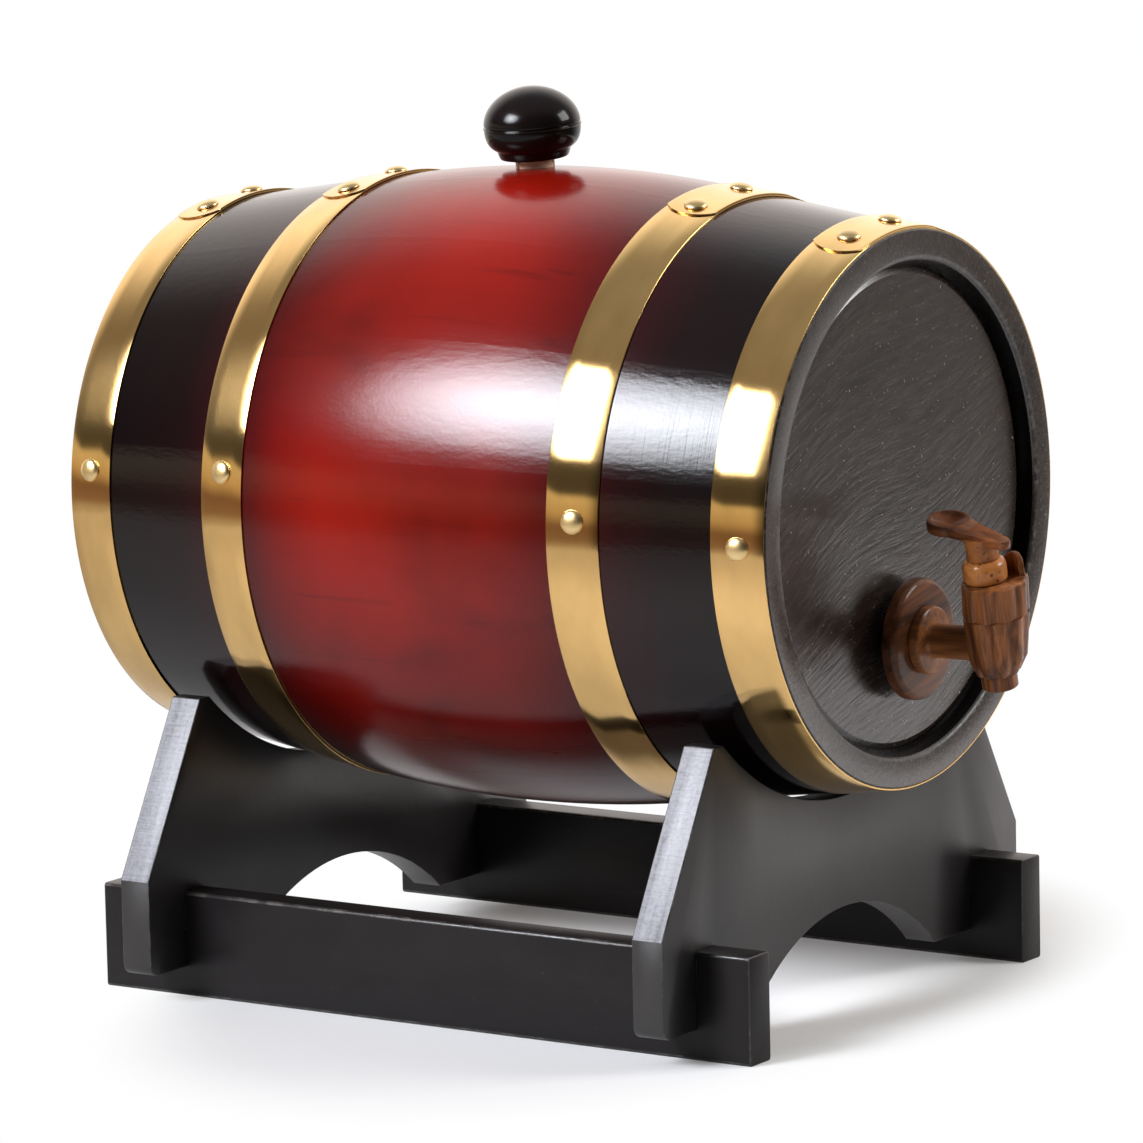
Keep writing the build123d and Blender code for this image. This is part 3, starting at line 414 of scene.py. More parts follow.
def brass(name, tint, roughness, lines, brushed=0.0):
    """Brass with lines of some strength in its relief. Brushed brass spreads light to one side."""
    material, tree = new_finish(name, Metallic=1.0, Anisotropic=brushed, Anisotropic_Rotation=0.25)
    comb = noise(tree, along(tree, CASK_CENTRE, stretch=(9, 2600, 9)), 1.0, 2.0, 0.7)
    cloud = noise(tree, along(tree, CASK_CENTRE, stretch=(1, 2, 1)), 28.0, 3.0, 0.6)
    wave = noise(tree, along(tree, CASK_CENTRE), 24.0, 1.0)
    darker = tuple(v * 0.86 for v in tint)
    return wire(
        material,
        Base_Color=mix(tree, grade(tree, cloud, [(0.35, 0.0), (0.7, 1.0)]), tint, darker),
        Roughness=grade(tree, cloud, [(0.3, roughness), (0.75, roughness * 1.3)]),
        Normal=bump(tree, wave, 0.4 * MM, 0.35, bump(tree, comb, 0.02 * MM, lines)),
        Tangent=put(tree, "Tangent", direction_type="RADIAL", axis="Y").outputs[0],
    )


HOOP_BRASS = brass("polished_brass_strip", (0.86, 0.56, 0.22), 0.113, 0.45, 0.95)
DOME_BRASS = brass("domed_brass", (0.86, 0.64, 0.31), 0.30, 0.3)
print("finishes", HOOP_BRASS.name, DOME_BRASS.name)

# %% [markdown]
# ### Walnut, cork and black gloss
# The tap is turned from walnut, whose grain has wide dark streaks and short dark pores. Cork is a pale ground with dark
# specks and cracks. The knob is black lacquer over turned wood, so faint rings run round it.

# %% Walnut
TAP_MIDDLE = (0, -172.45 * MM, 148.4 * MM)


def walnut(name, turn, light, dark, streaks=150):
    """Walnut whose grain lies along X once the coordinates are turned."""
    material, tree = new_finish(name, Coat_Weight=0.3, Coat_Roughness=0.13, Specular_IOR_Level=0.12)
    grained = along(tree, TAP_MIDDLE, turn=turn)
    figure = fibres(tree, grained, 9, streaks, distort=0.3)
    fine = fibres(tree, grained, 25, streaks * 4.5, distort=0.3)
    pores = fibres(tree, grained, 110, 1500, 2.0, distort=0.3)
    middle = tuple((a + b) / 2 for a, b in zip(light, dark))
    ground = grade(tree, figure, [(0.30, dark), (0.46, middle), (0.56, light), (0.72, middle)])
    shaded = mix(tree, 0.7, ground, grade(tree, fine, [(0.36, 0.30), (0.56, 1.0)]), "MULTIPLY")
    pitted = grade(tree, pores, [(0.66, 1.0), (0.74, 0.25)])
    return wire(
        material,
        Base_Color=mix(tree, 0.8, shaded, pitted, "MULTIPLY"),
        Roughness=grade(tree, fine, [(0.3, 0.42), (0.7, 0.56)]),
        Normal=bump(tree, weigh(tree, fine, (pitted, 0.6)), 0.08 * MM, 0.7),
    )


LIGHT_WALNUT, DARK_WALNUT = (0.36, 0.125, 0.037), (0.060, 0.018, 0.007)
TAP_TWIST = radians(13.5)
BODY_WALNUT = walnut("walnut_tap_body", (0, radians(90) + TAP_TWIST, 0), LIGHT_WALNUT, DARK_WALNUT)
SHANK_WALNUT = walnut("walnut_shank", (0, 0, radians(90)), (0.33, 0.120, 0.036), (0.18, 0.060, 0.019), streaks=60)
FLANGE_WALNUT = walnut("walnut_flange", (0, radians(12), 0), (0.185, 0.062, 0.021), (0.026, 0.008, 0.004), streaks=80)
LEVER_WALNUT = walnut("walnut_lever", (0, 0, radians(-76)), (0.27, 0.085, 0.027), (0.12, 0.036, 0.013), streaks=80)
print("walnut finishes", [m.name for m in (BODY_WALNUT, SHANK_WALNUT, FLANGE_WALNUT, LEVER_WALNUT)])

# %% Cork


def cork(name, pale, tan_brown, shine):
    """Cork in two tones, sealed with a little coat."""
    material, tree = new_finish(name, Coat_Weight=shine, Coat_Roughness=0.16, Specular_IOR_Level=0.2)
    spot = along(tree)
    mottle = noise(tree, spot, 190.0, 4.0, 0.6)
    ground = grade(tree, mottle, [(0.35, tan_brown), (0.6, pale)])
    cells = put(tree, "TexVoronoi", {"Vector": spot, "Scale": 330.0}).outputs["Distance"]
    picked = grade(tree, noise(tree, spot, 260.0, 2.0), [(0.47, 0.0), (0.55, 1.0)])
    speck = reckon(tree, "MULTIPLY", grade(tree, cells, [(0.18, 1.0), (0.34, 0.0)]), picked)
    cracks = noise(tree, along(tree, stretch=(300, 300, 90)), 1.0, 2.0, 0.5, 1.5)
    cracks = grade(tree, cracks, [(0.30, 1.0), (0.36, 0.0)])
    pits = reckon(tree, "MAXIMUM", speck, reckon(tree, "MULTIPLY", cracks, 0.6))
    return wire(
        material,
        Base_Color=mix(tree, pits, ground, (0.07, 0.022, 0.010)),
        Roughness=grade(tree, mottle, [(0.3, 0.55), (0.7, 0.75)]),
        Normal=bump(tree, reckon(tree, "SUBTRACT", mottle, pits), 0.2 * MM, 0.6),
    )


KEY_CORK = cork("amber_cork", (0.62, 0.235, 0.055), (0.42, 0.145, 0.032), 0.6)
# Painted shade: the neck's cork is a darker copy of the plug's, for the lever's shadow on it.
SHADED_NECK_CORK = cork("shade_darkened_neck_cork", (0.42, 0.150, 0.038), (0.25, 0.085, 0.023), 0.3)
BUNG_CORK = cork("pale_cork", (0.80, 0.52, 0.37), (0.64, 0.39, 0.26), 0.1)
print("cork finishes", KEY_CORK.name, SHADED_NECK_CORK.name, BUNG_CORK.name)

# %% Black gloss


def black_gloss():
    material, tree = new_finish("black_gloss_knob", Coat_Weight=1.0, Coat_IOR=1.3, Specular_IOR_Level=0.0)
    spot = along(tree)
    rings = noise(tree, along(tree, stretch=(6, 6, 700)), 1.0, 2.0)
    blush = noise(tree, spot, 45.0, 2.0)
    return wire(
        material,
        Base_Color=grade(tree, blush, [(0.4, (0.004, 0.0035, 0.0035)), (0.7, (0.008, 0.0045, 0.0045))]),
        Roughness=grade(tree, rings, [(0.3, 0.3), (0.7, 0.4)]),
        Coat_Roughness=grade(tree, blush, [(0.3, 0.11), (0.7, 0.16)]),
        Coat_Normal=bump(tree, weigh(tree, noise(tree, spot, 260.0, 2.0), (rings, 0.3)), 0.04 * MM),
    )


BLACK_GLOSS = black_gloss()
print("finish", BLACK_GLOSS.name)

# %% [markdown]
# ### Cradle paint
# The cradle is pine painted black and rubbed down. On the flat faces the paint is even and satin. On the boards' sawn
# slopes it sinks into the end grain, which keeps its saw marks. Their pale grey is partly the end grain and partly
# painted sheen of the lamp on the left. Along the edges it has worn thin.

# %% Cradle paint


def cradle_paint(name, shine):
    material, tree = new_finish(name, Specular_IOR_Level=shine)
    spot = along(tree)
    grain = noise(tree, along(tree, stretch=(60, 4, 60)), 1.0, 4.0, 0.6)
    across = noise(tree, along(tree, stretch=(4, 60, 60)), 1.0, 4.0, 0.6)
    boards = weigh(tree, 0.0, (across, 0.5), (grain, 0.5))
    dust = grade(tree, noise(tree, spot, 420.0, 2.0), [(0.72, 0.0), (0.80, 1.0)])
    tone = grade(tree, boards, [(0.3, (0.0055, 0.0045, 0.0048)), (0.7, (0.0110, 0.0090, 0.0096))])
    return wire(
        material,
        Base_Color=mix(tree, reckon(tree, "MULTIPLY", dust, 0.25), tone, (0.10, 0.09, 0.09)),
        Roughness=grade(tree, noise(tree, spot, 18.0, 3.0), [(0.3, 0.34), (0.7, 0.44)]),
        Normal=bump(tree, reckon(tree, "ADD", boards, noise(tree, spot, 500.0, 2.0)), 0.07 * MM, 0.6),
    )


def sawn_end():
    material, tree = new_finish("sawn_end_grain_and_sheen", Specular_IOR_Level=0.7)
    marks = noise(tree, along(tree, stretch=(40, 60, 1500)), 1.0, 3.0, 0.65, 0.6)
    streaks = noise(tree, along(tree, stretch=(14, 330, 14)), 1.0, 3.0)
    pits = noise(tree, along(tree, stretch=(700, 700, 700)), 1.0, 3.0)
    worn = weigh(tree, 0.0, (pits, 0.25), (streaks, 0.45), (marks, 0.3))
    # Painted sheen: these pale blue-greys are partly the end grain and partly the lamp's sheen on the slopes.
    greys_and_sheen = [(0.36, (0.12, 0.12, 0.132)), (0.46, (0.215, 0.215, 0.235)), (0.62, (0.34, 0.34, 0.37))]
    return wire(
        material,
        Base_Color=grade(tree, worn, greys_and_sheen),
        Roughness=grade(tree, marks, [(0.3, 0.42), (0.7, 0.55)]),
        Normal=bump(tree, worn, 0.2 * MM, 0.8),
    )


def worn_edge(name, scale, bare):
    """Black paint, or black-stained oak, with chips of a given number to the metre, through which the bare colour
    shows.
    """
    material, tree = new_finish(name, Specular_IOR_Level=0.6)
    chips = noise(tree, along(tree), scale, 4.0, 0.7)
    return wire(
        material,
        Base_Color=grade(tree, chips, [(0.50, (0.015, 0.013, 0.013)), (0.60, bare)]),
        Roughness=grade(tree, chips, [(0.4, 0.32), (0.6, 0.5)]),
        Normal=bump(tree, chips, 0.1 * MM),
    )


BOARD_PAINT = cradle_paint("satin_board_paint", 0.8)
RAIL_PAINT = cradle_paint("dull_rail_paint", 0.28)
SAWN_END = sawn_end()
WORN_EDGE = worn_edge("worn_edge_paint", 160.0, (0.065, 0.056, 0.052))
RIM_OAK = worn_edge("worn_rim_oak", 300.0, (0.10, 0.088, 0.080))
print("cradle finishes", BOARD_PAINT.name, RAIL_PAINT.name, SAWN_END.name, WORN_EDGE.name)

# %% [markdown]
# ## Making pieces
# Every piece is a bmesh. Turned pieces are one profile, spun round an axis. A few helpers draw a profile, spin it,
# close its ends and hand the finished mesh over to its body in the frame.

# %% Helpers for shapes


def draw_line(bm, points, close=False):
    """Vertices joined by edges, from a list of points."""
    verts = [bm.verts.new(p) for p in points]
    for first, second in zip(verts, verts[1:]):
        bm.edges.new((first, second))
    if close:
        bm.edges.new((verts[-1], verts[0]))
    return verts


def weld(bm, distance):
    """Merges vertices that lie within a distance of each other."""
    bmesh.ops.remove_doubles(bm, verts=bm.verts[:], dist=distance)


def spin(bm, axis, angle, steps):
    """Spins every edge of the bmesh round an axis through zero; a full turn is closed."""
    full = abs(abs(angle) - 2 * pi) < 1e-6
    lines = bm.verts[:] + bm.edges[:]
    bmesh.ops.spin(
        bm, geom=lines, cent=(0, 0, 0), axis=axis, angle=angle, steps=steps, use_merge=full, use_duplicate=False
    )
    weld(bm, 1e-7)


def face_outwards(bm):
    """Turns every face's front to the outside."""
    bmesh.ops.recalc_face_normals(bm, faces=bm.faces[:])


def close_holes(bm):
    """Fills every open border with one face."""
    bmesh.ops.holes_fill(bm, edges=[e for e in bm.edges if e.is_boundary], sides=0)


def add_shape(bm, part, place=None):
    """Adds one bmesh to another, set in its place, and frees it."""
    mesh = bpy.data.meshes.new("part")
    part.to_mesh(mesh)
    part.free()
    if place is not None:
        mesh.transform(place)
    bm.from_mesh(mesh)
    bpy.data.meshes.remove(mesh)


def bevel(bm, geom, width, segments=2, affect="EDGES"):
    """Rounds the given edges or corners and gives the new faces back."""
    return bmesh.ops.bevel(
        bm, geom=geom, offset=width, offset_type="OFFSET", segments=segments, profile=0.5, material=-1, affect=affect
    )["faces"]


def round_edges(bm, width, segments, sharper_than):
    """Rounds every edge that is sharper than an angle."""
    sharp = [e for e in bm.edges if len(e.link_faces) == 2 and e.calc_face_angle(0) > sharper_than]
    return bevel(bm, sharp, width, segments)


def finish_piece(name, bm, materials, body, nodes, smooth=radians(32), place=None):
    """Turns a bmesh into a piece of the scene that rides on a body and stands for CAD nodes."""
    if place is not None:
        bm.transform(place)
    face_outwards(bm)
    mesh = bpy.data.meshes.new(name)
    bm.to_mesh(mesh)
    bm.free()
    for material in materials:
        mesh.materials.append(material)
    mesh.shade_smooth()
    mesh.set_sharp_from_angle(angle=smooth)
    piece = add_object(name, mesh)
    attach(piece, body)
    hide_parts(*nodes)
    return piece


IN_CASK = Matrix.Translation(CASK_CENTRE)

# %% [markdown]
# ## Staves
# Sixteen staves stand edge to edge. Outside they follow two straight shoulders joined by a round belly. Inside, each
# end has a groove for the head. One long section is drawn and spun through a sixteenth of a turn.

# %% The cask's outline
END_RADIUS = 108.4 * MM
BELLY_RADIUS = 127.0 * MM
HALF_ARC = 68.5 * MM
STAVE_COUNT = 16
STAVE_THICKNESS = 12.0 * MM
WALL_RADIUS = END_RADIUS - 14.5 * MM


def shoulder_slope():
    """Angle of the straight shoulders, which are tangent to the belly's arc."""
    drop = BELLY_RADIUS - END_RADIUS
    half_tangent = 0.0
    for _ in range(30):
        cubic = HALF_ARC * half_tangent**3 - drop * half_tangent**2
        half_tangent = (drop + cubic) / (2 * HALF_CASK - HALF_ARC)
    return 2 * atan(half_tangent)


SLOPE = shoulder_slope()
ARC_RADIUS = HALF_ARC / sin(SLOPE)


def cask_radius(distance):
    """Outer radius at a distance along the cask from its middle."""
    distance = abs(distance)
    if distance < HALF_ARC:
        return BELLY_RADIUS - ARC_RADIUS + sqrt(ARC_RADIUS**2 - distance**2)
    return END_RADIUS + (HALF_CASK - distance) * tan(SLOPE)


print("shoulder slope", round(SLOPE * 180 / pi, 2), "degrees")

# %% Staves
OUTLINE_STEPS, HOLLOW_STEPS, ARC_STEPS = 44, 16, 14
EDGE = 0.5 * MM
HEAD_OUTER = HALF_CASK - 6.0 * MM
CROZE_OUTER = HEAD_OUTER - 2.0 * MM
CROZE_INNER = CROZE_OUTER - 5.0 * MM
LAND_END = HEAD_OUTER - 13.0 * MM
BEVEL_END = LAND_END - 12.0 * MM
CHIME_INNER = WALL_RADIUS + 2.8 * MM
CROZE_RADIUS = WALL_RADIUS + 3.0 * MM
SKIN, RING, RECESS, RIM = range(4)  # where each finish stands in a stave's list


def stave_section():
    """Closed outline of a stave: outer skin, ring at the end, groove, hollow, and the same again."""
    skin = []
    for step in range(OUTLINE_STEPS + 1):
        distance = (2 * step / OUTLINE_STEPS - 1) * (HALF_CASK - EDGE)
        skin.append((distance, cask_radius(distance)))
    inner_end = [
        (HALF_CASK, END_RADIUS - EDGE),
        (HALF_CASK, CHIME_INNER + 1.9 * MM),
        (HALF_CASK - 0.3 * MM, CHIME_INNER + 0.8 * MM),
        (HALF_CASK - 0.9 * MM, CHIME_INNER + 0.1 * MM),
        (HALF_CASK - 1.5 * MM, CHIME_INNER - 0.2 * MM),
        (HEAD_OUTER, WALL_RADIUS),
        (CROZE_OUTER, WALL_RADIUS),
        (CROZE_OUTER, CROZE_RADIUS),
        (CROZE_INNER, CROZE_RADIUS),
        (CROZE_INNER, WALL_RADIUS),
        (LAND_END, WALL_RADIUS),
    ]
    hollow = []
    for step in range(HOLLOW_STEPS + 1):
        distance = (1 - 2 * step / HOLLOW_STEPS) * BEVEL_END
        hollow.append((distance, cask_radius(distance) - STAVE_THICKNESS / cos(SLOPE)))
    mirrored = [(-distance, radius) for distance, radius in reversed(inner_end)]
    return skin + inner_end + hollow + mirrored


def finish_at(face):
    """Which finish a stave's face takes, by its depth from the cask's end and the way it faces."""
    middle = face.calc_center_median()
    on_skin = hypot(middle.x, middle.z) > cask_radius(middle.y) - 1.0 * MM
    depth = HALF_CASK - abs(middle.y)
    endways = abs(face.normal.y)
    if 0.05 * MM < depth < 0.8 * MM and 0.2 < endways < 0.99:
        return RIM
    if not on_skin and 1.5 * MM < depth < 7.0 * MM and endways < 0.9:
        return RECESS
    return SKIN if on_skin and depth > EDGE else RING


def make_stave(index):
    bm = bmesh.new()
    draw_line(bm, [(0, distance, radius) for distance, radius in stave_section()], close=True)
    pitch = 2 * pi / STAVE_COUNT
    bm.transform(Matrix.Rotation(-(index - 0.5) * pitch, 4, "Y"))
    spin(bm, (0, 1, 0), -pitch, ARC_STEPS)
    close_holes(bm)
    for face in bm.faces:
        face.material_index = finish_at(face)
    name = f"stave_{index + 1:02d}"
    finishes = [LACQUER, CHIME_OAK, SHADED_RECESS_OAK, RIM_OAK]
    return finish_piece(f"oak_{name}", bm, finishes, "cask", [name], place=IN_CASK)


staves = [make_stave(index) for index in range(STAVE_COUNT)]
print("staves", len(staves), "faces each", len(staves[0].data.polygons))

# %% [markdown]
# ## Hoops
# A hoop is a strip of brass bent into a cone round the staves. Its outer end laps over the top and is cut round. A
# section with softened corners is spun all the way round for the ring, and part of the way for the lap, which rises
# gently out of the ring at its start.

# %% Hoop places
HOOP_WIDTH = 21.5 * MM
HOOP_THICKNESS = 0.7 * MM
HOOP_CLEARANCE = 0.05 * MM
STRIP_EDGE = 0.16 * MM
CHIME_HOOP = HALF_CASK - 0.4 * MM - HOOP_WIDTH / 2
HOOPS = {  # how far along the cask, and the turns in degrees of the lap's end and of the near nail
    "front_chime": (-CHIME_HOOP, 20.6, 90.5),
    "front_quarter": (-84.4 * MM, 17.6, 87.0),
    "back_quarter": (79.6 * MM, 18.0, 82.7),
    "back_chime": (CHIME_HOOP, 20.0, 84.5),
}
LAP_START = radians(-15.0)
LAP_END_BULGE = 5.0 * MM
RING_STEPS, LAP_STEPS = 160, 40


def hoop_line(name):
    """Ends of the strip's inner line, as (distance, radius)."""
    middle = HOOPS[name][0]
    start, end = middle - HOOP_WIDTH / 2, middle + HOOP_WIDTH / 2
    bulge = cask_radius((start + end) / 2) - (cask_radius(start) + cask_radius(end)) / 2
    rise = bulge + HOOP_CLEARANCE
    return (start, cask_radius(start) + rise), (end, cask_radius(end) + rise)


def strip_section(bm, name, lift, cuts):
    """Rounded section of the strip, standing at the top of the cask."""
    (start, low), (end, high) = hoop_line(name)
    corners = [(start, low), (end, high), (end, high + HOOP_THICKNESS), (start, low + HOOP_THICKNESS)]
    verts = [bm.verts.new((0, distance, radius + lift)) for distance, radius in corners]
    bm.faces.new(verts)
    bevel(bm, verts, STRIP_EDGE, affect="VERTICES")
    bmesh.ops.delete(bm, geom=bm.faces[:], context="FACES_ONLY")
    long_edges = [e for e in bm.edges if e.calc_length() > HOOP_WIDTH / 2]
    bmesh.ops.subdivide_edges(bm, edges=long_edges, cuts=cuts)


print("hoops", {name: round(hoop_line(name)[0][1] * 1000, 1) for name in HOOPS})

# %% Hoops


def turn_of(point):
    """Angle round the cask from its top towards -X."""
    return atan2(-point.x, point.z)


def make_hoop(name, middle, lap_end):
    ring = bmesh.new()
    strip_section(ring, name, 0.0, 3)
    spin(ring, (0, 1, 0), -2 * pi, RING_STEPS)

    lap = bmesh.new()
    strip_section(lap, name, HOOP_THICKNESS, 15)
    lap.transform(Matrix.Rotation(-LAP_START, 4, "Y"))
    spin(lap, (0, 1, 0), -(lap_end - LAP_START), LAP_STEPS)
    close_holes(lap)
    bmesh.ops.triangulate(lap, faces=[f for f in lap.faces if len(f.verts) > 4])
    (start, low), (end, high) = hoop_line(name)
    radius = (low + high) / 2
    nose = ((HOOP_WIDTH / 2) ** 2 + LAP_END_BULGE**2) / (2 * LAP_END_BULGE)
    for vert in lap.verts:
        turn = turn_of(vert.co)
        share = (turn - LAP_START) / (lap_end - LAP_START)
        across = vert.co.y - middle
        sag = nose - sqrt(nose**2 - min(abs(across), HOOP_WIDTH / 2) ** 2)
        back_by = sag / radius * max(0.0, share - 0.7) / 0.3
        rise = min(1.0, share / 0.18)
        sink = HOOP_THICKNESS * 0.98 * (1 - rise * rise * (3 - 2 * rise))
        spot = Matrix.Rotation(back_by, 3, "Y") @ vert.co
        outward = Vector((spot.x, 0, spot.z)).normalized()
        vert.co = spot - outward * sink
    add_shape(ring, lap)
    node = f"hoop_{name}"
    return finish_piece(f"brass_{node}", ring, [HOOP_BRASS], "cask", [node], radians(40), place=IN_CASK)


hoops = [make_hoop(name, middle, radians(lap_end)) for name, (middle, lap_end, _) in HOOPS.items()]
print("hoops", len(hoops), "faces each", len(hoops[0].data.polygons))

# %% [markdown]
# ## Rivets and nails
# Two rivets hold each lap, and a dome nail on either side stops the hoop from sliding. Their heads are hammered domes
# with a small flat rim. One profile is spun and set on the strip at each place.

# %% Rivets and nails
RIVET_TURNS = (13.8, -2.1)
FAR_NAIL_TURN = -88.0
HEAD_RADIUS = 4.7 * MM
HEAD_HEIGHT = 2.3 * MM
DOME_RADIUS = HEAD_RADIUS * 0.985
RIM_TOP = 0.24 * MM


def hoop_seat(name, turn, lift):
    """Matrix that sets a piece on the strip, its Z straight out of the brass."""
    (start, low), (end, high) = hoop_line(name)
    tilt = atan((high - low) / (end - start))
    outward = Vector((-sin(turn), 0, cos(turn)))
    normal = outward * cos(tilt) - Vector((0, 1, 0)) * sin(tilt)
    lengthwise = Vector((0, 1, 0)) * cos(tilt) + outward * sin(tilt)
    middle = Vector((0, HOOPS[name][0], 0)) + outward * ((low + high) / 2) + normal * lift
    turned = Matrix((lengthwise, normal.cross(lengthwise), normal)).transposed().to_4x4()
    return Matrix.Translation(middle) @ turned


def dome(bm, seat):
    """A domed head with a rolled rim and the start of its shank, spun at a seat."""
    one = bmesh.new()
    profile = [(0, -0.5 * MM), (1.1 * MM, -0.5 * MM), (1.1 * MM, 0), (HEAD_RADIUS - 0.25 * MM, 0)]
    profile += [(HEAD_RADIUS, 0.22 * MM)]
    for lean in (radians(9 * step) for step in range(11)):
        profile.append((DOME_RADIUS * cos(lean), RIM_TOP + (HEAD_HEIGHT - RIM_TOP) * sin(lean)))
    draw_line(one, [(radius, 0, height) for radius, height in profile])
    spin(one, (0, 0, 1), 2 * pi, 32)
    add_shape(bm, one, seat)


for name, (_, _, near_nail) in HOOPS.items():
    for kind, turns, layers in (("rivets", RIVET_TURNS, 2), ("nails", (near_nail, FAR_NAIL_TURN), 1)):
        bm = bmesh.new()
        for turn in turns:
            dome(bm, hoop_seat(name, radians(turn), layers * HOOP_THICKNESS))
        node = f"{kind}_{name}"
        finish_piece(f"brass_{node}", bm, [DOME_BRASS], "cask", [node], radians(50), place=IN_CASK)
print("domes", len(HOOPS) * (len(RIVET_TURNS) + 2))

# %% [markdown]
# ## Bung
# The bung is a turned knob on a tapered cork. It leans a little, as corks do. The knob's profile is two curves that
# meet at its widest level, with a scored ring there and a collar below.

# %% Bung
BUNG_LEAN, BUNG_LEAN_TURN = radians(4.6), radians(12.0)
bung_axis = Vector((-sin(BUNG_LEAN) * cos(BUNG_LEAN_TURN), sin(BUNG_LEAN) * sin(BUNG_LEAN_TURN), cos(BUNG_LEAN)))
bung_foot = CASK_CENTRE + Vector((0, 9.0 * MM, cask_radius(9.0 * MM)))
AT_BUNG = Matrix.Translation(bung_foot) @ Vector((0, 0, 1)).rotation_difference(bung_axis).to_matrix().to_4x4()
COLLAR_HEIGHT, WIDEST, KNOB_TOP, KNOB_RADIUS = 3.8, 16.0, 32.3, 19.35


def curve(first, pull_first, pull_second, last, count):
    """Points along a Bezier curve in the (radius, height) plane."""
    knots = [Vector((*p, 0)) for p in (first, pull_first, pull_second, last)]
    return [(p.x, p.y) for p in interpolate_bezier(*knots, count)]


def lathe(points, steps=72):
    """Spins (radius, height) points in millimetres round Z."""
    bm = bmesh.new()
    draw_line(bm, [(radius * MM, 0, height * MM) for radius, height in points])
    spin(bm, (0, 0, 1), 2 * pi, steps)
    return bm


lower = curve((15.35, 7.55), (KNOB_RADIUS - 1.5, 8.9), (KNOB_RADIUS, WIDEST - 4.3), (KNOB_RADIUS, WIDEST), 14)
upper = curve((KNOB_RADIUS, WIDEST + 1.6), (KNOB_RADIUS - 0.1, 25.1), (10.8, KNOB_TOP), (0, KNOB_TOP), 26)
bead = [(0.12, 0.1), (0.26, 0.25), (0.30, 0.42), (0.22, 0.6), (0.02, 0.74)]
groove = [(-0.35, 0.86), (-0.45, 1.05), (-0.3, 1.3), (-0.06, 1.45)]
score = [(KNOB_RADIUS + out, WIDEST + up) for out, up in bead + groove]
collar = [(0, COLLAR_HEIGHT), (13.0, COLLAR_HEIGHT), (13.5, 4.0), (13.9, 4.6), (14.4, 6.0), (14.7, 6.9), (14.95, 7.25)]
knob = lathe(collar + lower + score + upper, 96)
finish_piece("gloss_bung_knob", knob, [BLACK_GLOSS], "bung", ["bung_knob"], radians(36), place=AT_BUNG)

cork_side = [(0, COLLAR_HEIGHT), (7.85, COLLAR_HEIGHT), (7.8, 0), (7.18, -21.4), (6.7, -22.0), (0, -22.0)]
finish_piece("bung_cork_plug", lathe(cork_side, 48), [BUNG_CORK], "bung", ["bung_cork"], place=AT_BUNG)
print("bung leans towards", [round(v, 3) for v in bung_axis])

# %% [markdown]
# The cork sits in a tapered hole through the top stave, with a tenth of a millimetre to spare. The hole is reamed after
# the cask is lacquered, so its wall is bare oak.

# %% Bung hole
HOLE_LINE = ((8.01, 6.0), (7.223, -23.0))  # radius and height of the reamer's ends


def ream(piece, cutter, wall):
    """Cuts a closed shape out of a piece for good, and gives the cut its own finish."""
    piece.data.materials.append(wall)
    for face in cutter.faces:
        face.material_index = len(piece.data.materials) - 1
    face_outwards(cutter)
    mesh = bpy.data.meshes.new("reamer")
    cutter.to_mesh(mesh)
    cutter.free()
    reamer = add_object("reamer", mesh)
    cut = piece.modifiers.new("ream", "BOOLEAN")
    cut.operation, cut.solver, cut.object = "DIFFERENCE", "EXACT", reamer
    bm = bmesh.new()
    bm.from_object(piece, bpy.context.evaluated_depsgraph_get())
    piece.modifiers.clear()
    bpy.data.objects.remove(reamer)
    bpy.data.meshes.remove(mesh)
    bm.to_mesh(piece.data)
    bm.free()
    piece.data.set_sharp_from_angle(angle=radians(32))


(top_radius, top), (foot_radius, foot) = HOLE_LINE
hole = lathe([(0, top), (top_radius, top), (foot_radius, foot), (0, foot)], 64)
hole.transform(AT_BUNG)
ream(staves[0], hole, BARE_OAK)
print("top stave's faces with its hole", len(staves[0].data.polygons))

# %% [markdown]
# ## Tap
# The tap is made of turned pieces: a flange against the head, a shank with a collar, and an upright body that the key
# turns in. The body is not plain turned work. Nine lobes run round it, upright above a scored line and slanting in
# below it, so it is raised ring by ring instead of being spun.

# %% Where the tap stands
HEAD_FACE = CASK_CENTRE.y - 157.0 * MM
TAP_Z = CASK_CENTRE.z - 50.7 * MM
TAP_REACH = 41.9
key_up = Vector((-sin(TAP_TWIST), 0, cos(TAP_TWIST)))
key_side = Vector((cos(TAP_TWIST), 0, sin(TAP_TWIST)))
key_foot = Vector((0, HEAD_FACE - TAP_REACH * MM, TAP_Z))
AT_KEY = Matrix.Translation(key_foot) @ Matrix((key_side, Vector((0, 1, 0)), key_up)).transposed().to_4x4()
AT_SHANK = Matrix.Translation((0, HEAD_FACE, TAP_Z)) @ Matrix.Rotation(pi / 2, 4, "X")
print("key axis", [round(v, 3) for v in key_up], "at", [round(v, 4) for v in key_foot])

# %% Flange and shank
FLANGE_FACE, FLANGE_BACK, FLANGE_RADIUS, FLANGE_EDGE, FLANGE_BORE = 11.0, 5.0, 23.8, 2.5, 7.5
flange = [(FLANGE_BORE, FLANGE_BACK), (FLANGE_BORE, FLANGE_FACE)]
for lean in (radians(18 * step) for step in range(6)):
    flange.append((FLANGE_RADIUS - FLANGE_EDGE * (1 - sin(lean)), FLANGE_FACE - FLANGE_EDGE * (1 - cos(lean))))
for inwards, forwards in ((0, 0.5), (0.4, 0.1), (0.8, 0)):
    flange.append((FLANGE_RADIUS - inwards, FLANGE_BACK + forwards))
bm = lathe(flange + [flange[0]], 96)
finish_piece("walnut_tap_flange", bm, [FLANGE_WALNUT], "cask", ["tap_flange"], place=AT_SHANK)

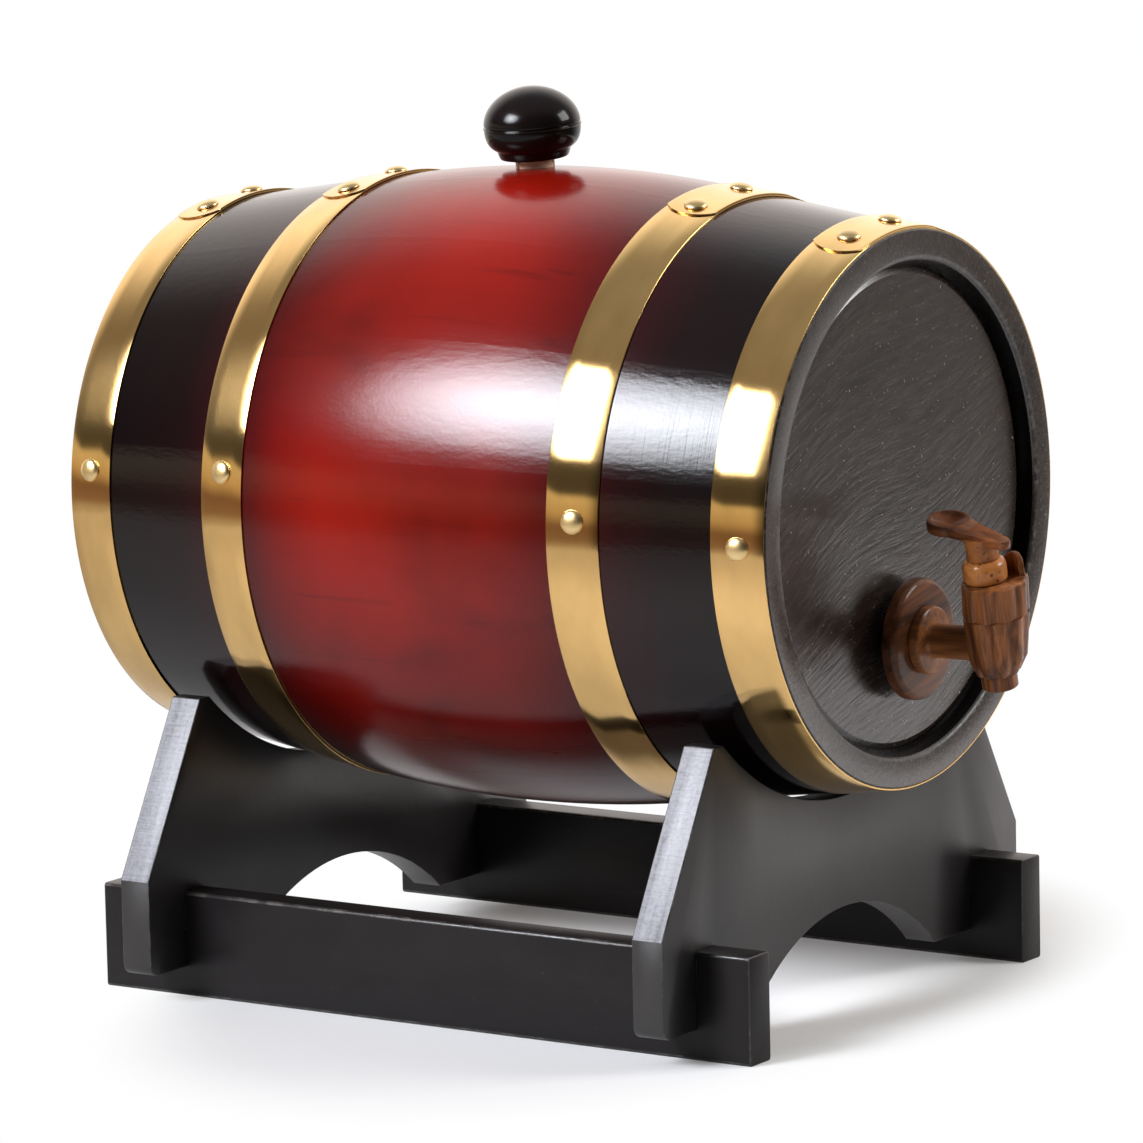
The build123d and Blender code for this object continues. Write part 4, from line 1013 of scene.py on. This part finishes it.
shank = [(2.2, -21.0), (6.4, -21.0), (6.8, -20.5), (7.4, 0), (7.4, 11.0), (12.9, 11.0), (13.35, 11.5), (13.35, 14.0)]
shank += [(13.1, 14.6), (12.5, 15.0), (8.6, 15.0), (7.3, 15.25), (6.8, 16.0), (6.65, 17.2), (6.65, 34.7), (2.2, 34.7)]
bm = lathe(shank + [shank[0]], 64)
finish_piece("walnut_tap_shank", bm, [SHANK_WALNUT], "cask", ["tap_shank"], place=AT_SHANK)
print("flange and shank points", len(flange), len(shank))

# %% Tap body
LOBES, LOBE_STEPS = 9, 10
BODY_FOOT, SCORE_LEVEL, BODY_TOP, TOP_FORWARD = -11.0, 13.55, 27.2, 3.9
LOWER_LOBE, UPPER_LOBE, LOBE_SLANT = 1.25, 1.15, 0.35


def lobe_ring(height, radius, forward, depth, offset=0.0):
    """Where a ring of the body's skin lies: a function of the angle, in the key's coordinates."""

    def spot(step):
        angle = 2 * pi * step / (LOBES * LOBE_STEPS)
        phase = (step / LOBE_STEPS + 0.5 + offset) % 1.0 - 0.5
        crest = cos(pi * phase)
        distance = radius - depth * (1 - crest)
        return Vector((distance * sin(angle), -distance * cos(angle) - forward, height)) * MM

    return spot


def raise_rings(rings):
    """Draws a skin up from its first ring through the others."""
    bm = bmesh.new()
    count = LOBES * LOBE_STEPS
    bmesh.ops.create_circle(bm, segments=count, radius=1.0)
    verts = sorted(bm.verts, key=lambda v: atan2(v.co.x, -v.co.y) % (2 * pi))
    for step, vert in enumerate(verts):
        vert.co = rings[0](step)
    for ring in rings[1:]:
        edges = [e for e in bm.edges if e.is_boundary or not e.link_faces]
        top = [e for e in edges if all(v in verts for v in e.verts)]
        raised = bmesh.ops.extrude_edge_only(bm, edges=top)["geom"]
        twins = {}
        for vert in (g for g in raised if isinstance(g, bmesh.types.BMVert)):
            nearest = min(range(count), key=lambda k: (verts[k].co - vert.co).length_squared)
            twins[nearest] = vert
        verts = [twins[k] for k in range(count)]
        for step, vert in enumerate(verts):
            vert.co = ring(step)
    return bm


def section_at(height):
    """Radius and forward shift of the body at a height."""
    stops = [(BODY_FOOT, 8.6, 0.0), (-4.5, 11.5, 0.8), (13.9, 13.1, 2.6), (BODY_TOP, 13.1, TOP_FORWARD)]
    for (low, r0, f0), (high, r1, f1) in zip(stops, stops[1:]):
        if height <= high:
            share = (height - low) / (high - low)
            return r0 + (r1 - r0) * share, f0 + (f1 - f0) * share


rings = []
for height in (BODY_FOOT, -10.4, -7.5, -4.5, -1.0, 4.0, 9.0, 13.3, SCORE_LEVEL):
    radius, forward = section_at(height)
    squeeze = 0.5 if height == BODY_FOOT else 0.0
    slant = LOBE_SLANT * (SCORE_LEVEL - height) / (SCORE_LEVEL - BODY_FOOT)
    rings.append(lobe_ring(height, radius - squeeze, forward, LOWER_LOBE, offset=0.5 - slant))
rings.append(lobe_ring(13.75, 12.35, 2.6, 0.35))
rings += [lobe_ring(height, *section_at(height), UPPER_LOBE) for height in (13.95, 14.2, 17.0, 21.0, 25.0, 26.5)]
rings += [lobe_ring(27.0, 12.85, TOP_FORWARD, 0.7), lobe_ring(BODY_TOP, 12.3, TOP_FORWARD, 0.4)]
bore = [(BODY_TOP, 7.3), (26.8, 6.88), (-5.0, 4.58), (-5.3, 4.58), (-5.3, 3.6), (-16.8, 3.6)]
spout = [(-17.0, 3.8), (-17.0, 6.7), (-16.6, 7.1), (-12.0, 7.1), (BODY_FOOT, 7.1)]
rings += [lobe_ring(height, radius, 0.0, 0.0) for height, radius in bore + spout]
body = raise_rings(rings)
bmesh.ops.bridge_loops(body, edges=[e for e in body.edges if e.is_boundary])
print("tap body faces", len(body.faces))

# %% [markdown]
# The body's rim rises on one side into an ear, which keeps the key's cork from being knocked. It is a flat grid with a
# rounded top, bent round the rim and given a thickness.

# %% Ear
EAR_BEARING = radians(22.0)
EAR_HALF_WIDTH, EAR_TOP, EAR_FOOT = 6.6, 35.6, 25.5
EAR_INNER, EAR_OUTER = 9.7, 12.0

ear = bmesh.new()
bmesh.ops.create_grid(ear, x_segments=20, y_segments=12, size=1.0)
for vert in ear.verts:
    across = vert.co.x
    top = EAR_TOP - EAR_HALF_WIDTH + sqrt(max(0.0, 1 - across**2)) * EAR_HALF_WIDTH
    height = EAR_FOOT + (vert.co.y + 1) / 2 * (top - EAR_FOOT)
    bend = across * EAR_HALF_WIDTH / EAR_OUTER - EAR_BEARING
    vert.co = Vector((EAR_INNER * cos(bend), EAR_INNER * sin(bend) - TOP_FORWARD, height)) * MM
face_outwards(ear)
if sum(f.normal.dot(Vector((1, 0, 0))) for f in ear.faces) < 0:
    bmesh.ops.reverse_faces(ear, faces=ear.faces[:])
bmesh.ops.solidify(ear, geom=ear.faces[:], thickness=-(EAR_OUTER - EAR_INNER) * MM)
weld(ear, 1e-6)
round_edges(ear, 0.5 * MM, 3, radians(50))
add_shape(body, ear)
finish_piece("walnut_tap_body", body, [BODY_WALNUT], "cask", ["tap_body"], radians(38), place=AT_KEY)
print("ear stands to", EAR_TOP, "mm above the shank's axis")

# %% [markdown]
# ## Key
# The key is a cork plug on a wooden spindle, with a sloping lever. The lever's round end is dished for the thumb. It is
# one grid, drawn out to the lever's outline, dished, and then given its thickness.

# %% Key cork
plug = [(3.2, -5.0), (4.3, -5.0), (4.5, -4.7), (6.8, 27.0), (6.8, 27.5), (8.2, 27.5), (8.6, 27.9), (8.7, 28.6)]
plug += [(8.7, 32.6), (8.45, 34.2), (7.8, 35.3), (6.9, 35.9), (6.2, 36.0), (3.2, 36.0)]
bm = lathe(plug + [plug[0]], 72)
finish_piece("key_cork_plug", bm, [KEY_CORK], "key", ["key_cork"], radians(40), place=AT_KEY)
print("cork points", len(plug))

# %% Key lever
KEY_TURN = radians(14.0)
LEVER_SLOPE = radians(7.0)
LEVER_HEIGHT, LEVER_THICKNESS = 43.8, 3.2
TIP_REACH, TIP_RADIUS, ROOT_HALF = 14.4, 3.3, 6.9
DISH_REACH, DISH_RIM, DISH_RADIUS, DISH_DEPTH = 16.4, 8.6, 7.2, 2.2


def half_width(reach):
    """Half the lever's width at a reach behind the key's axis."""
    tip_middle = TIP_RADIUS - TIP_REACH
    if reach < tip_middle:
        return sqrt(max(0.0, TIP_RADIUS**2 - (reach - tip_middle) ** 2))
    taper = TIP_RADIUS + (ROOT_HALF - TIP_RADIUS) * (reach - tip_middle) / (DISH_REACH - 4.0 - tip_middle)
    from_dish = abs(reach - DISH_REACH)
    round_end = sqrt(DISH_RIM**2 - from_dish**2) if from_dish < DISH_RIM else 0.0
    return max(taper if reach < DISH_REACH else 0.0, round_end)


def top_height(across, reach):
    """Height of the lever's top face above its underside."""
    distance = hypot(across, reach - DISH_REACH)
    lifted = 1.0 / (1 + (distance / 9.6) ** 10)
    dish = max(0.0, 1 - (distance / DISH_RADIUS) ** 2)
    return LEVER_THICKNESS + lifted - DISH_DEPTH * dish


lever = bmesh.new()
bmesh.ops.create_grid(lever, x_segments=28, y_segments=64, size=1.0)
for vert in lever.verts:
    share = (vert.co.y + 1) / 2
    eased = (1 - cos(pi * share)) / 2
    reach = -TIP_REACH + eased * (TIP_REACH + DISH_REACH + DISH_RIM)
    across = vert.co.x * max(half_width(reach), 0.02)
    vert.co = Vector((across, reach, top_height(across, reach))) * MM
walls = bmesh.ops.extrude_edge_only(lever, edges=[e for e in lever.edges if e.is_boundary])["geom"]
for vert in (g for g in walls if isinstance(g, bmesh.types.BMVert)):
    vert.co.z = 0
close_holes(lever)
weld(lever, 2e-5)
face_outwards(lever)
round_edges(lever, 0.45 * MM, 2, radians(48))
lever.transform(Matrix.Translation((0, 0, LEVER_HEIGHT * MM)) @ Matrix.Rotation(LEVER_SLOPE, 4, "X"))
print("lever faces", len(lever.faces))

# %% [markdown]
# The neck under the lever is part of the same turned spindle. It is cork-brown like the plug, and takes a darker copy
# of the cork's finish in a second material slot; the darker tone is painted shade from the lever above.

# %% Neck and spindle
neck = lathe([(0, 36.0), (6.0, 36.0), (6.3, 36.4), (6.2, 40.0), (6.5, 43.4), (7.0, 45.2), (0, 45.2)], 48)
spindle = lathe([(0, -5.0), (2.9, -5.0), (3.1, -4.8), (3.1, 36.2), (0, 36.2)], 32)
for part, slot_number in ((neck, 1), (spindle, 0)):
    for face in part.faces:
        face.material_index = slot_number
    add_shape(lever, part)
AT_LEVER = AT_KEY @ Matrix.Rotation(-KEY_TURN, 4, "Z")
finishes = [LEVER_WALNUT, SHADED_NECK_CORK]
finish_piece("walnut_key_lever", lever, finishes, "key", ["key_lever"], radians(40), place=AT_LEVER)
print("key turned by", round(KEY_TURN * 180 / pi), "degrees")

# %% [markdown]
# ## Cradle
# Two rails and two saddle boards are halved into each other. Their shapes are already right in the CAD model, so each
# piece starts from a copy of its node. Its triangles are merged into flat faces, and its sharp edges are then rounded,
# as a rubbed-down painted board is.

# %% Cradle
BOARD_EDGE = 0.5 * MM
LEAST_SLOPE = 400 * MM * MM  # smaller sloping faces are painted like the rest


def make_cradle_piece(node, paint):
    bm = bmesh.new()
    bm.from_mesh(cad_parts[node].data)
    weld(bm, 1e-6)
    bmesh.ops.dissolve_limit(bm, angle_limit=radians(0.5), verts=bm.verts[:], edges=bm.edges[:])
    for face in bm.faces:
        sloping = abs(face.normal.x) > 0.5 and face.normal.z > 0.2 and abs(face.normal.y) < 0.1
        face.material_index = 1 if sloping and face.calc_area() > LEAST_SLOPE else 0
    for face in round_edges(bm, BOARD_EDGE, 2, radians(40)):
        face.material_index = 2
    return finish_piece(f"painted_{node}", bm, [paint, SAWN_END, WORN_EDGE], "cradle", [node])


for paint, nodes in ((RAIL_PAINT, ("left_rail", "right_rail")), (BOARD_PAINT, ("front_board", "back_board"))):
    for node in nodes:
        piece = make_cradle_piece(node, paint)
        print(piece.name, len(piece.data.polygons))
